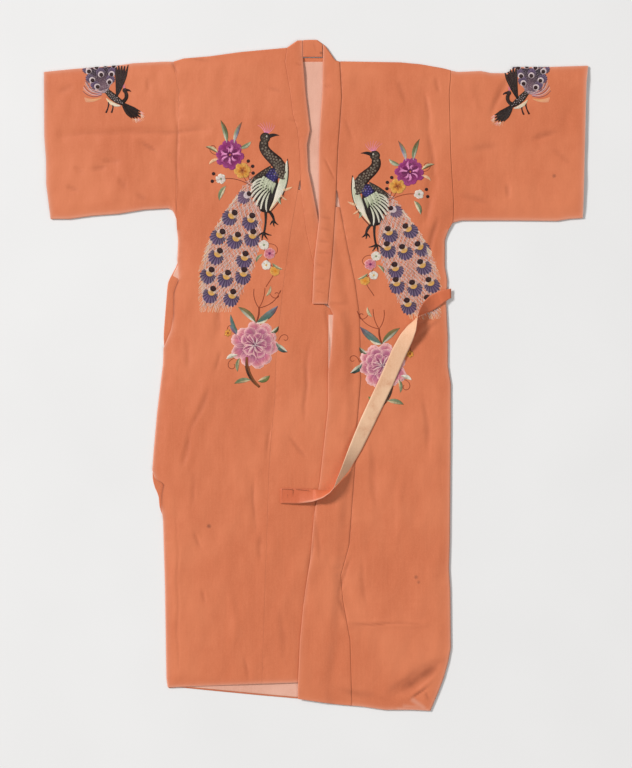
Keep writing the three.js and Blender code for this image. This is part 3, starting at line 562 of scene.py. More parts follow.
def steps_of(length, step):
    """Shares from 0 to 1 about a step apart, with one more close to each end for the rounded rim."""
    count = max(2, round(length / step))
    rim, soft = RIM_STEP / length, min(SECOND_STEP * RIM_STEP / length, 0.5 / count)
    between = np.linspace(0, 1, count + 1)[1:-1]
    return np.concatenate([[0, rim, rim + soft], between, [1 - rim - soft, 1 - rim, 1]])


def panel_grid(left, right, top, bottom, height, length, width, fold_left=None, fold_right=None,
               fold_top=False, gap=SEAM_GAP / 2, step=FINE_STEP):
    """Middle points of a panel between four edges, with how far each lies from the panel's nearest edge.

    fold_left and fold_right give the share from 0 to 1 at each y by which that edge folds down."""
    across = steps_of(width, step)
    down = steps_of(length, step)
    before = np.arange(DEEPEST) if fold_left else np.array([], int)
    behind = np.arange(DEEPEST)[::-1] if fold_right else np.array([], int)
    u = np.concatenate([np.zeros(len(before)), across, np.ones(len(behind))])[None, :]
    left_index = np.concatenate([before, np.full(len(across) + len(behind), DEEPEST)])[None, :]
    right_index = np.concatenate([np.full(len(before) + len(across), DEEPEST), behind])[None, :]
    top_index = np.concatenate([np.arange(DEEPEST), np.full(len(down), DEEPEST)])[:, None]
    if not fold_top:
        top_index = np.full((len(down), 1), DEEPEST)
    share = np.concatenate([np.zeros(len(top_index) - len(down)), down])[:, None]
    top_away = FOLDED_AWAY[top_index] if fold_top else gap
    top_drop = FOLDED_DROP[top_index] if fold_top else 0.0

    def away(fold, index, y):
        if not fold:
            return gap
        return lerp(gap + index * FLAT_EDGE_STEP, FOLDED_AWAY[index], fold(y))

    x = left(np.zeros((1, 1))) + 0 * u * share
    y = 0 * x
    for _ in range(SETTLING_ROUNDS):
        y = lerp(top(x) - top_away, bottom(x), share)
        x = lerp(left(y) + away(fold_left, left_index, y), right(y) - away(fold_right, right_index, y), u)
    drop = top_drop + 0 * x
    if fold_left:
        drop = np.maximum(drop, FOLDED_DROP[left_index] * fold_left(y))
    if fold_right:
        drop = np.maximum(drop, FOLDED_DROP[right_index] * fold_right(y))
    edges = {"left": x - left(y), "right": right(y) - x, "top": top(x) - y, "bottom": y - bottom(x)}
    return np.stack([x, y, height(x, y) - drop], -1), edges


# Materials
class Weaver:
    """Builds one node material. A node's input may be a constant or another node's output."""

    def __init__(self, name):
        self.material = bpy.data.materials.new(name)
        self.material.use_nodes = True
        self.tree = self.material.node_tree
        self.shader = self.tree.nodes["Principled BSDF"]
        self.coords = self.node("ShaderNodeTexCoord").outputs["Object"]

    def node(self, kind, inputs=None, **settings):
        made = self.tree.nodes.new(kind)
        for key, value in settings.items():
            setattr(made, key, value)
        for key, value in (inputs or {}).items():
            self.connect(value, made.inputs[key])
        return made

    def connect(self, value, socket):
        if isinstance(value, bpy.types.NodeSocket):
            self.tree.links.new(value, socket)
        else:
            socket.default_value = value

    def noise(self, scale, detail=3.0, stretch=(1, 1, 1)):
        mapped = self.node("ShaderNodeMapping", {"Vector": self.coords, "Scale": stretch}).outputs[0]
        inputs = {"Vector": mapped, "Scale": scale, "Detail": detail, "Roughness": 0.55}
        return self.node("ShaderNodeTexNoise", inputs).outputs["Fac"]

    def maths(self, operation, first, second=0.0):
        return self.node("ShaderNodeMath", {0: first, 1: second}, operation=operation).outputs[0]

    def ramp(self, value, low, high, start=0.0, end=1.0):
        inputs = {"Value": value, "From Min": low, "From Max": high, "To Min": start, "To Max": end}
        return self.node("ShaderNodeMapRange", inputs, interpolation_type="SMOOTHSTEP").outputs[0]

    def mix(self, share, first, second, blend="MIX"):
        made = self.node("ShaderNodeMix", {"Factor": share}, data_type="RGBA", blend_type=blend)
        for value, socket in ((first, made.inputs[6]), (second, made.inputs[7])):
            if isinstance(value, bpy.types.NodeSocket):
                self.tree.links.new(value, socket)
            else:
                socket.default_value = (*value, 1.0)
        return made.outputs[2]

    def attribute(self, name, output="Fac"):
        return self.node("ShaderNodeAttribute", attribute_name=name).outputs[output]

    def threads(self, axis, period):
        """Ridges across one axis, a full turn for each period in metres."""
        place = self.node("ShaderNodeSeparateXYZ", {"Vector": self.coords}).outputs[axis]
        return self.maths("SINE", self.maths("MULTIPLY", place, 2 * math.pi / period))

    def finish(self, colour, height, depth, roughness, sheen, sheen_tint, specular=0.35):
        bump = self.node("ShaderNodeBump", {"Height": height, "Strength": 1.0, "Distance": depth})
        self.connect(bump.outputs[0], self.shader.inputs["Normal"])
        self.connect(colour, self.shader.inputs["Base Color"])
        self.connect(roughness, self.shader.inputs["Roughness"])
        self.shader.inputs["Sheen Weight"].default_value = sheen
        self.shader.inputs["Sheen Roughness"].default_value = 0.45
        self.shader.inputs["Sheen Tint"].default_value = (*sheen_tint, 1.0)
        self.shader.inputs["Specular IOR Level"].default_value = specular
        return self.material


WEAVE_PERIOD = 0.0011
FLOSS_WIDTH = 0.62
# Dark marks: places in the photograph's pixels, and a radius.
MARKS = ((416, 577, 2.2), (418.5, 582, 2.0), (209, 526, 2.4), (554, 176, 2.2), (321, 53, 1.6))


def silk_cloth(name, tone, light, dark, rim, blotches=0.5, marks=()):
    """Plain-woven silk with uneven dye, slubs, small crinkles, a few dark marks, painted shade and pale
    edges, partly painted highlight.
    """
    weaver = Weaver(name)
    broad = weaver.noise(4.5, 4)
    blotch = weaver.noise(22, 5)
    slub = weaver.noise(10, 3, (22, 1.2, 1))
    pick = weaver.noise(10, 3, (1.2, 26, 1))
    grain = weaver.noise(420, 2)
    colour = weaver.mix(weaver.ramp(broad, 0.35, 0.66), dark, light)
    colour = weaver.mix(0.45, tone, colour)
    colour = weaver.mix(weaver.ramp(blotch, 0.52, 0.76, 0, blotches), colour, dark)
    colour = weaver.mix(weaver.ramp(slub, 0.45, 0.7, 0, 0.14), colour, light)
    colour = weaver.mix(weaver.ramp(pick, 0.5, 0.74, 0, 0.08), colour, dark)
    colour = weaver.mix(weaver.ramp(grain, 0.4, 0.68, 0, 0.22), colour, light)
    for u, v, radius in marks:
        x, y = from_photo(u, v)
        inputs = {0: weaver.coords, 1: (x * MM, y * MM, FRONT_Z * MM)}
        away = weaver.node("ShaderNodeVectorMath", inputs, operation="DISTANCE").outputs["Value"]
        worn = weaver.ramp(weaver.maths("ADD", away, weaver.maths("MULTIPLY", grain, 0.002)),
                           radius * 0.0008, radius * 0.0034, 0.7, 0.0)
        colour = weaver.mix(worn, colour, (0.16, 0.05, 0.03))
    # Painted shade: the creases, the seams and the opened side's slit are mixed towards a darker tone.
    painted_shade_share = weaver.maths("MULTIPLY", weaver.attribute("painted_shade"), weaver.ramp(blotch, 0.3, 0.62, 0.25, 0.7))
    colour = weaver.mix(painted_shade_share, colour, tuple(part * 0.55 for part in dark))
    # Pale edges: partly the lining's tone at the rolled edges, partly a painted highlight where they catch
    # the light.
    colour = weaver.mix(weaver.maths("MULTIPLY", weaver.attribute("rim"), 0.85), colour, rim)
    weave = weaver.maths("MULTIPLY", weaver.threads("X", WEAVE_PERIOD), weaver.threads("Y", WEAVE_PERIOD))
    crinkle = weaver.noise(34, 4, (1.5, 1, 1))
    height = weaver.maths("ADD", weaver.maths("MULTIPLY", weave, 0.05), crinkle)
    height = weaver.maths("ADD", height, weaver.maths("MULTIPLY", slub, 0.15))
    return weaver.finish(colour, height, 0.0009, weaver.ramp(blotch, 0.3, 0.7, 0.5, 0.62), 0.18, light)


def thread_material():
    """Silk floss: its colours come from the stitches, with a ridge for each laid thread and painted shade in
    the grooves between them.
    """
    weaver = Weaver("silk floss")
    across = weaver.maths("MULTIPLY", weaver.attribute("stitch"), 2 * math.pi / FLOSS_WIDTH)
    ridge = weaver.maths("SINE", across)
    grain = weaver.noise(900, 2)
    colour = weaver.attribute("thread_colour", "Color")
    # Painted shade in the grooves between the laid threads.
    colour = weaver.mix(weaver.ramp(ridge, -1, 1, 0.2, 0), colour, (0.02, 0.01, 0.01))
    colour = weaver.mix(weaver.ramp(grain, 0.5, 0.75, 0, 0.06), colour, (0.9, 0.82, 0.78))
    height = weaver.maths("ADD", weaver.maths("MULTIPLY", ridge, 0.5), grain)
    return weaver.finish(colour, height, 0.00018, 0.5, 0.03, (1.0, 0.95, 0.92), specular=0.22)


def painted_floor():
    weaver = Weaver("pale floor")
    colour = weaver.mix(weaver.noise(3, 2), (0.78, 0.775, 0.77), (0.84, 0.835, 0.83))
    return weaver.finish(colour, weaver.noise(300, 2), 0.0001, 0.9, 0.0, (1, 1, 1), specular=0.2)


# The last colour of each cloth is its pale edge, partly a painted highlight.
CORAL = silk_cloth(
    "coral silk", silk(211, 118, 78), silk(221, 130, 90), silk(198, 103, 65), silk(226, 168, 146),
    blotches=0.25, marks=MARKS,
)
BELT_CORAL = silk_cloth(
    "belt silk", silk(206, 104, 66), silk(216, 116, 76), silk(192, 92, 56), silk(224, 150, 122),
)
PINK = silk_cloth(
    "pink lining", silk(226, 172, 150), silk(238, 188, 168), silk(210, 148, 124), silk(232, 190, 176),
)
TAN = silk_cloth(
    "tan silk", silk(228, 183, 146), silk(240, 202, 168), silk(200, 140, 104), silk(234, 198, 170),
    blotches=0.75,
)
THREAD = thread_material()


# The pieces
def dress(obj, slot, *nodes):
    """States which body the piece rides and hides the solids that it stands for. slot is not used."""
    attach(obj, "root")
    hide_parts(*nodes)


def closed_side(side):
    return lambda y: np.interp(y, side["y"], side["closed"])


def inset_by(side, y, opened, closed):
    """How far a layer keeps inside the outline: opened or closed, after the side's own state."""
    return lerp(opened, closed, np.interp(y, side["y"], side["inset"]))


def turned_in(y):
    """1 where the back's coral cloth is turned in along the opened side, and the lining starts behind it."""
    return smoothstep(-y, *TURNED_IN_FADE)


def level(value):
    return lambda place: np.full(np.shape(place), float(value))


CLOSE_SEAM = 0.02
TURNED_IN = 26
TURNED_IN_FADE = (-206, -192)
SLANT_X = (-40, -20)  # where the back hem's allowance passes from the right half to the left one
FAR = 99.0
SEAM_DIP = 0.5
SEAM_SOFTNESS = 2.4
SEAM_SHADE = 0.9
SEAM_FADING = (-460, -200)
PUCKER = 0.2
PUCKER_REACH = 11
PUCKER_WAVES = 5
PUCKER_LENGTHS, PUCKER_SPACING = (9, 26), (30, 60)


def sewn(grid, edges, seams, seed):
    """Draws the cloth down along its seams, with small uneven puckers, and gives the painted shade along
    them.

    seams holds each side's share of the full depth."""
    random = np.random.default_rng(seed)
    depth = 0 * grid[..., 0]
    for side, share in seams.items():
        away = np.maximum(edges[side], 0)
        along = grid[..., 1] if side in ("left", "right") else grid[..., 0]
        waves = sum(
            np.sin(2 * np.pi * along / random.uniform(*PUCKER_LENGTHS) + random.uniform(0, 2 * np.pi))
            for _ in range(PUCKER_WAVES)
        )
        strength = 0.5 + 0.5 * np.sin(along / random.uniform(*PUCKER_SPACING) + random.uniform(0, 6))
        along_seam = share * (0.75 + 0.25 * strength) * np.exp(-((away / SEAM_SOFTNESS) ** 2))
        along_seam *= lerp(0.3, 1, smoothstep(grid[..., 1], *SEAM_FADING))
        grid[..., 2] -= SEAM_DIP * along_seam
        grid[..., 2] += PUCKER * waves * strength * np.exp(-away / PUCKER_REACH) * smoothstep(away, 0, 4)
        # Painted shade along the seam, as strong as the seam is drawn down.
        depth = np.maximum(depth, SEAM_SHADE * along_seam)
    return depth


def make_panel(name, materials, thickness, slot, rests_on, rims=(), seams=None, stitched=(), crown=0.0,
               sleeve_side=None, worn=0.9, flush=None, slit=False, **cut):
    grid, edges = panel_grid(**cut)
    # Painted shade along the seams and in the small creases.
    painted_shade = sewn(grid, edges, seams or {}, len(name)) + creasing(grid[..., 0], grid[..., 1])
    middle = np.minimum(edges["left"], edges["right"]) / np.maximum(edges["left"] + edges["right"], 1)
    grid[..., 2] += crown * smoothstep(middle, 0, 0.5)
    # Pale edges, partly the lining's tone and partly a painted highlight where the rolled edge catches the
    # light.
    nearest = np.full(grid.shape[:2], FAR)
    for side in rims:
        sewn_up = (grid[..., 1] > UNDERARM_Y) & (side == sleeve_side)
        nearest = np.minimum(nearest, np.where(sewn_up, FAR, np.maximum(edges[side], 0)))
    rim = np.maximum(worn * np.exp(-nearest / RIM_WIDTH), peeping(grid[..., 0], grid[..., 1]))
    # Along the opened side's slit: a painted shadow at the left edge, and no pale edge.
    if slit:
        open_here = np.interp(grid[..., 1], SLIT["y"], SLIT["depth"])
        rim *= 1 - open_here
        painted_shade = np.maximum(painted_shade, SLIT_SHADE * open_here * np.exp(-((edges["left"] / SLIT_WIDTH) ** 2)))
    obj = shell(name + CLOTH, grid, thickness, materials, rim, painted_shade, flush)
    dress(obj, slot, name)


def make_cloth(stitched):
    """The panels and bands. stitched holds the embroidery that belongs to each; it is passed on but not
    used.
    """

    def add(name, *args, **cut):
        make_panel(name, *args, stitched=stitched.get(name, ()), **cut)

    add(
        "back", (CORAL, CORAL), CLOTH_WALL, "coral_silk", ["ground"], step=10,
        left=lambda y: right_edge(y) + inset_by(RIGHT_SIDE_CLOSED, y, 0, BACK_INSET - SEAM_GAP / 2),
        right=lambda y: left_edge(y) - inset_by(LEFT_SIDE_CLOSED, y, 0, BACK_INSET - SEAM_GAP / 2),
        top=lambda x: y_at(BACK_TOP_LINE, x) - BACK_INSET,
        bottom=lambda x: y_at(BACK_HEM, x) + 3 * smoothstep(x, *SLANT_X),
        height=lambda x, y: BACK_Z + 0 * x, length=1340, width=610,
    )
    add(
        "back_lining", (PINK, PINK), LINING_WALL, "pink_lining", ["back" + CLOTH], step=8,
        left=lambda y: right_edge(y) + inset_by(RIGHT_SIDE_CLOSED, y, 2, 6) + TURNED_IN * turned_in(y),
        right=lambda y: left_edge(y) - inset_by(LEFT_SIDE_CLOSED, y, 2, 6),
        top=lambda x: y_at(BACK_TOP_LINE, x) - 10,
        bottom=lambda x: y_at(BACK_HEM, x) + lerp(3, 8, smoothstep(x, *SLANT_X)),
        height=lambda x, y: LINING_Z + 0 * x, length=1330, width=600,
    )
    add(
        "front_right", (CORAL, PINK), CLOTH_WALL, "coral_silk", ["back_lining" + CLOTH],
        rims=("left", "bottom"), seams={"right": 0.1, "left": 0.3}, sleeve_side="left", flush="right",
        slit=True,
        left=bent_line(RIGHT_ARMHOLE, RIGHT_FRONT_SIDE, UNDERARM_Y),
        right=bent_line(RIGHT_BAND_SEAM, RIGHT_OKUMI_SEAM, RIGHT_FRONT_BEND_Y),
        top=end_line(SHOULDER_LINE), bottom=end_line(RIGHT_FRONT_HEM),
        height=right_front_z, length=1300, width=230, fold_left=closed_side(RIGHT_SIDE_CLOSED),
        fold_top=True, gap=CLOSE_SEAM,
    )
    add(
        "okumi_right", (CORAL, PINK), CLOTH_WALL, "coral_silk", ["back_lining" + CLOTH], rims=("bottom",),
        seams={"left": 0.1}, flush="left",
        left=side_line(RIGHT_OKUMI_SEAM),
        right=bent_line(RIGHT_BAND_SEAM, RIGHT_OKUMI_EDGE, RIGHT_BAND_END_Y),
        top=level(RIGHT_OKUMI_TOP_Y), bottom=end_line(RIGHT_FRONT_HEM),
        height=right_front_z, length=1010, width=140, gap=CLOSE_SEAM,
    )
    add(
        "collar_right", (CORAL, PINK), BAND_WALL, "coral_silk", ["front_right" + CLOTH],
        rims=("right",), worn=0.5, seams={"left": 0.25}, crown=0.5,
        left=side_line(RIGHT_BAND_SEAM), right=side_line(RIGHT_BAND_EDGE),
        top=end_line(COLLAR_TOP), bottom=level(RIGHT_BAND_END_Y + 1),
        height=lambda x, y: right_front_z(x, y) + (BAND_WALL - CLOTH_WALL) / 2,
        length=540, width=36, gap=CLOSE_SEAM, step=3, fold_top=True,
    )
    add(
        "front_left", (CORAL, PINK), CLOTH_WALL, "coral_silk",
        [node + CLOTH for node in ("back_lining", "front_right")],
        rims=("right", "bottom"), seams={"left": 1.0}, sleeve_side="right",
        left=bent_line(LEFT_BAND_SEAM, LEFT_OKUMI_SEAM, LEFT_FRONT_BEND_Y),
        right=left_edge, top=end_line(SHOULDER_LINE), bottom=end_line(BACK_HEM),
        height=left_front_z, length=1320, width=210, fold_right=closed_side(LEFT_SIDE_CLOSED), fold_top=True,
    )
    add(
        "okumi_left", (CORAL, PINK), CLOTH_WALL, "coral_silk", ["okumi_right" + CLOTH],
        rims=("left", "bottom"), seams={"right": 1.0}, worn=0.3,
        left=bent_line(LEFT_BAND_SEAM, LEFT_OKUMI_EDGE, LEFT_BAND_END_Y),
        right=side_line(LEFT_OKUMI_SEAM), top=level(LEFT_OKUMI_TOP_Y), bottom=end_line(BACK_HEM),
        height=left_front_z, length=1020, width=100,
    )
    add(
        "okumi_left_lining", (PINK, PINK), LINING_WALL, "pink_lining", ["okumi_right" + CLOTH],
        left=level(25.5), right=level(44), top=level(124), bottom=level(8),
        height=lambda x, y: FRONT_Z + OVERLAP_LIFT + relief(x, y) - (CLOTH_WALL - LINING_WALL) / 2,
        length=116, width=18, step=3,
    )
    add(
        "collar_left", (CORAL, PINK), BAND_WALL, "coral_silk", ["collar_right" + CLOTH],
        rims=("left", "bottom"), seams={"right": 0.8}, crown=0.5, worn=0.5,
        left=side_line(LEFT_BAND_EDGE), right=side_line(LEFT_BAND_SEAM),
        top=end_line(COLLAR_TOP), bottom=level(LEFT_BAND_END_Y + 1),
        height=lambda x, y: left_front_z(x, y) + (BAND_WALL - CLOTH_WALL) / 2,
        length=540, width=36, gap=0.3, step=3, fold_top=True,
    )
    add(
        "collar_back", (CORAL, CORAL), BAND_WALL, "coral_silk", ["back_lining" + CLOTH],
        left=level(-26.7), right=level(13.4), top=end_line(COLLAR_TOP), bottom=level(NECK_Y + 1),
        height=lambda x, y: FRONT_Z + 0 * x, length=34, width=40, step=2, fold_top=True,
    )


SLEEVE_REACH = 272  # from the cuff to the armhole
SLEEVE_PLACES = 60  # up each face
SLEEVE_TURNS = np.radians(np.linspace(-75, 75, 7))  # round each fold
SLEEVE_TOP_Y, SLEEVE_BOTTOM_Y = 600, 330  # where a ring's ends are looked up


def make_sleeve(name, cuff, armhole, top_line, bottom_line):
    """A flattened tube: each ring runs along the floor, round the fold at the top and back over."""
    inset = CLOTH_WALL / 2 + FOLD_RADIUS
    upward = np.linspace(0, 1, SLEEVE_PLACES)
    level_face = np.ones(SLEEVE_PLACES)
    rise, reach = np.sin(SLEEVE_TURNS), np.cos(SLEEVE_TURNS)
    outward_sign = np.sign(cuff["x"][0])
    rings = []
    outs = []
    for share in steps_of(SLEEVE_REACH, FINE_STEP):

        def place_x(y):
            return lerp(x_at(cuff, y), x_at(armhole, y) + outward_sign * SEAM_GAP / 2, share)

        top = y_at(top_line, place_x(SLEEVE_TOP_Y)) - inset
        bottom = y_at(bottom_line, place_x(SLEEVE_BOTTOM_Y)) + inset
        under_y = lerp(bottom, top, upward)
        over_y = under_y[::-1]
        over_z = FRONT_Z + relief(place_x(over_y), over_y)
        fold_z = FOLD_MIDDLE_Z + FOLD_RADIUS * rise
        y = np.concatenate([under_y, top + FOLD_RADIUS * reach, over_y, bottom - FOLD_RADIUS * reach[::-1]])
        z = np.concatenate([BACK_Z * level_face, fold_z, over_z, fold_z[::-1]])
        out_y = np.concatenate([0 * level_face, reach, 0 * level_face, -reach[::-1]])
        out_z = np.concatenate([-level_face, rise, level_face, rise[::-1]])
        rings.append(np.stack([place_x(y), y, z], -1))
        outs.append(np.stack([0 * y, out_y, out_z], -1))
    grid, out = np.array(rings), np.array(outs)
    rows, count = grid.shape[:2]
    half = np.full((rows, 1, 1), CLOTH_WALL / 2)
    half[[0, -1]] *= RIM_SHARE
    outer, inner = grid + out * half, grid - out * half
    outer[..., 2] = np.maximum(outer[..., 2], EMBROIDERY_ROOM)
    size = rows * count
    outer_faces = grid_quads(rows, count, closed=True)
    if outward_sign < 0:
        outer_faces = outer_faces[:, ::-1]
    index = np.arange(count)
    after = (index + 1) % count
    ends = []
    for r, turned in ((0, outward_sign > 0), (rows - 1, outward_sign < 0)):
        ring, following = r * count + index, r * count + after
        end = np.stack([ring, following, following + size, ring + size], -1)
        ends.append(end[:, ::-1] if turned else end)
    face_sets = (outer_faces, outer_faces[:, ::-1] + size, np.concatenate(ends))
    from_cuff = np.abs(grid[..., 0] - x_at(cuff, grid[..., 1]))
    from_bottom = grid[..., 1] - y_at(bottom_line, grid[..., 0])
    from_top = y_at(top_line, grid[..., 0]) - grid[..., 1]
    # Pale edges at the cuff and along both folds: a painted highlight, at the cuff partly the lining's tone.
    rim = np.exp(-np.minimum(np.minimum(from_cuff, from_bottom), from_top + 1) / RIM_WIDTH)
    # Painted shade in the creases of the upper face.
    on_top = grid[..., 2] > (FRONT_Z + BACK_Z) / 2
    painted_shade = np.where(on_top, creasing(grid[..., 0], grid[..., 1]), 0)
    obj = wall_object(name + CLOTH, outer, inner, face_sets, (CORAL, PINK), rim, painted_shade)
    dress(obj, "coral_silk", name)


def cloth_top(x, y):
    """The top of the cloth that the belt lies on, falling away past the left side's folded edge."""
    past = x - x_at(LEFT_SIDE, y)
    flat = FRONT_Z + CLOTH_WALL / 2
    front = np.where(x > top_edge(y) - 1, left_front_z(x, y), right_front_z(x, y)) + CLOTH_WALL / 2
    return np.where(past > 0, lerp(flat, SEAM_GAP, smoothstep(past, -2, 9)), front)


def belt_rows(step):
    names, *rows = BELT_LINE
    rows = np.array(rows, float)
    lengths = np.concatenate([[0], np.cumsum(np.hypot(*np.diff(rows[:, :2], axis=0).T))])
    places = np.linspace(0, lengths[-1], round(lengths[-1] / step) + 1)
    return {name: np.interp(places, lengths, rows[:, i]) for i, name in enumerate(names)}, lengths[-1]


def make_belt():
    rows, length = belt_rows(BELT_STEP)
    crossing = np.linspace(-1, 1, BELT_COLUMNS)
    heading, turn = np.radians(rows["heading"]), np.radians(rows["turn"])
    side = np.stack([-np.sin(heading), np.cos(heading), 0 * heading], -1)
    across = side * np.cos(turn)[:, None] + np.sin(turn)[:, None] * np.array([0, 0, 1.0])
    half = BELT_WIDTH * rows["share"] / 2
    offsets = across[:, None, :] * (crossing[None, :, None] * half[:, None, None])
    x = rows["x"][:, None] + offsets[..., 0]
    y = rows["y"][:, None] + offsets[..., 1]
    reach = BELT_REST_REACH
    near = ((0, 0), (reach, 0), (-reach, 0), (0, reach), (0, -reach))
    highest = np.max([cloth_top(x + dx, y + dy) for dx, dy in near], axis=0)
    rest = np.max(highest - offsets[..., 2], axis=1, keepdims=True)
    z = rest + LAYER_GAP + BELT_WALL / 2 + offsets[..., 2]
    grid = np.stack([x, y, z], -1)
    turning = smoothstep(-rows["x"], -60, -40) * smoothstep(rows["x"], -42, -14)
    # Painted highlight along the lower edge where the belt turns over, and a faint pale band along both
    # edges.
    rim = turning[:, None] * smoothstep(crossing, 0.72, 0.9) + 0.3 * np.abs(crossing)[None] ** 9
    obj = shell("belt", grid, BELT_WALL, (BELT_CORAL, TAN), rim, 0 * x)
    stitching = stitch_belt_end(grid)
    dress(obj, "coral_silk", "belt_wrap", "belt_run", "belt_tip")


def stitch_belt_end(grid):
    """The rows of dark stitches that close the belt's free end."""
    middle = grid[::-1, grid.shape[1] // 2]

    def press(x, y, lift):
        return np.stack([x, y, np.interp(x, middle[:, 0], middle[:, 2]) + BELT_WALL / 2 + lift], -1)

    work = Needlework(15)
    for lane in BELT_STITCHES:
        for start, finish in zip(lane, lane[1:]):
            count = max(2, round(math.dist(start, finish) / BELT_STITCH_STEP))
            places = np.linspace(start, finish, count + 1)
            for here, after in zip(places, places[1:]):
                ends = [lerp(here, after, share) for share in BELT_STITCH]
                work.thread(ends, 0.26, STITCH, lift=0.3)
    return work.finish("belt_stitching", press)


# Embroidery
BLACK = silk(30, 16, 14)
BROWN = silk(52, 28, 18)
OLIVE = silk(60, 46, 34)
SCALE = silk(128, 114, 98)
MAROON = silk(44, 4, 8)
NAVY = silk(28, 16, 56)
PURPLE = silk(72, 38, 88)
NIGHT = silk(38, 22, 40)
DUSK = silk(118, 84, 96)
LILAC = silk(222, 200, 200)
STITCH = silk(160, 82, 52)
HAZE = silk(238, 210, 196)
FROST = silk(198, 172, 204)
TAUPE = silk(150, 112, 100)
IVORY = silk(240, 230, 212)
PALE_GREEN = silk(206, 208, 178)
SAGE = silk(150, 158, 122)
LEAF = silk(98, 112, 72)
SEA = silk(84, 120, 110)
GREY_BLUE = silk(124, 130, 146)
CREAM = silk(244, 214, 170)
GOLD = silk(230, 172, 84)
ORANGE = silk(234, 144, 34)
PEACH = silk(244, 172, 132)
MAGENTA = silk(124, 26, 88)
PLUM = silk(92, 14, 70)
ORCHID = silk(170, 62, 132)
PINK_THREAD = silk(240, 150, 200)
BLUSH = silk(252, 196, 192)
ROSE = silk(204, 112, 144)
MAUVE = silk(122, 54, 90)
CORAL_PINK = silk(228, 128, 130)
RUST = silk(146, 58, 26)
STEM = silk(140, 82, 42)


def curve(points, count):
    """Evenly spaced places on a smooth curve through the points, and the direction there."""
    points = np.array(points, float)
    if len(points) > 2:
        padded = np.concatenate([[2 * points[0] - points[1]], points, [2 * points[-1] - points[-2]]])
        pieces = []
        for a, b, c, d in zip(padded, padded[1:], padded[2:], padded[3:]):
            t = np.linspace(0, 1, 9)[:-1, None]
            pieces.append(
                0.5 * (2 * b + (c - a) * t + (2 * a - 5 * b + 4 * c - d) * t**2
                       + (3 * b - a - 3 * c + d) * t**3)
            )
        points = np.concatenate([*pieces, points[-1:]])
    lengths = np.concatenate([[0], np.cumsum(np.hypot(*np.diff(points, axis=0).T))])
    places = np.linspace(0, lengths[-1], count)
    line = np.stack([np.interp(places, lengths, points[:, i]) for i in (0, 1)], -1)
    heading = np.gradient(line, axis=0)
    heading /= np.maximum(np.linalg.norm(heading, axis=1, keepdims=True), 1e-9)
    return line, heading, lengths[-1]


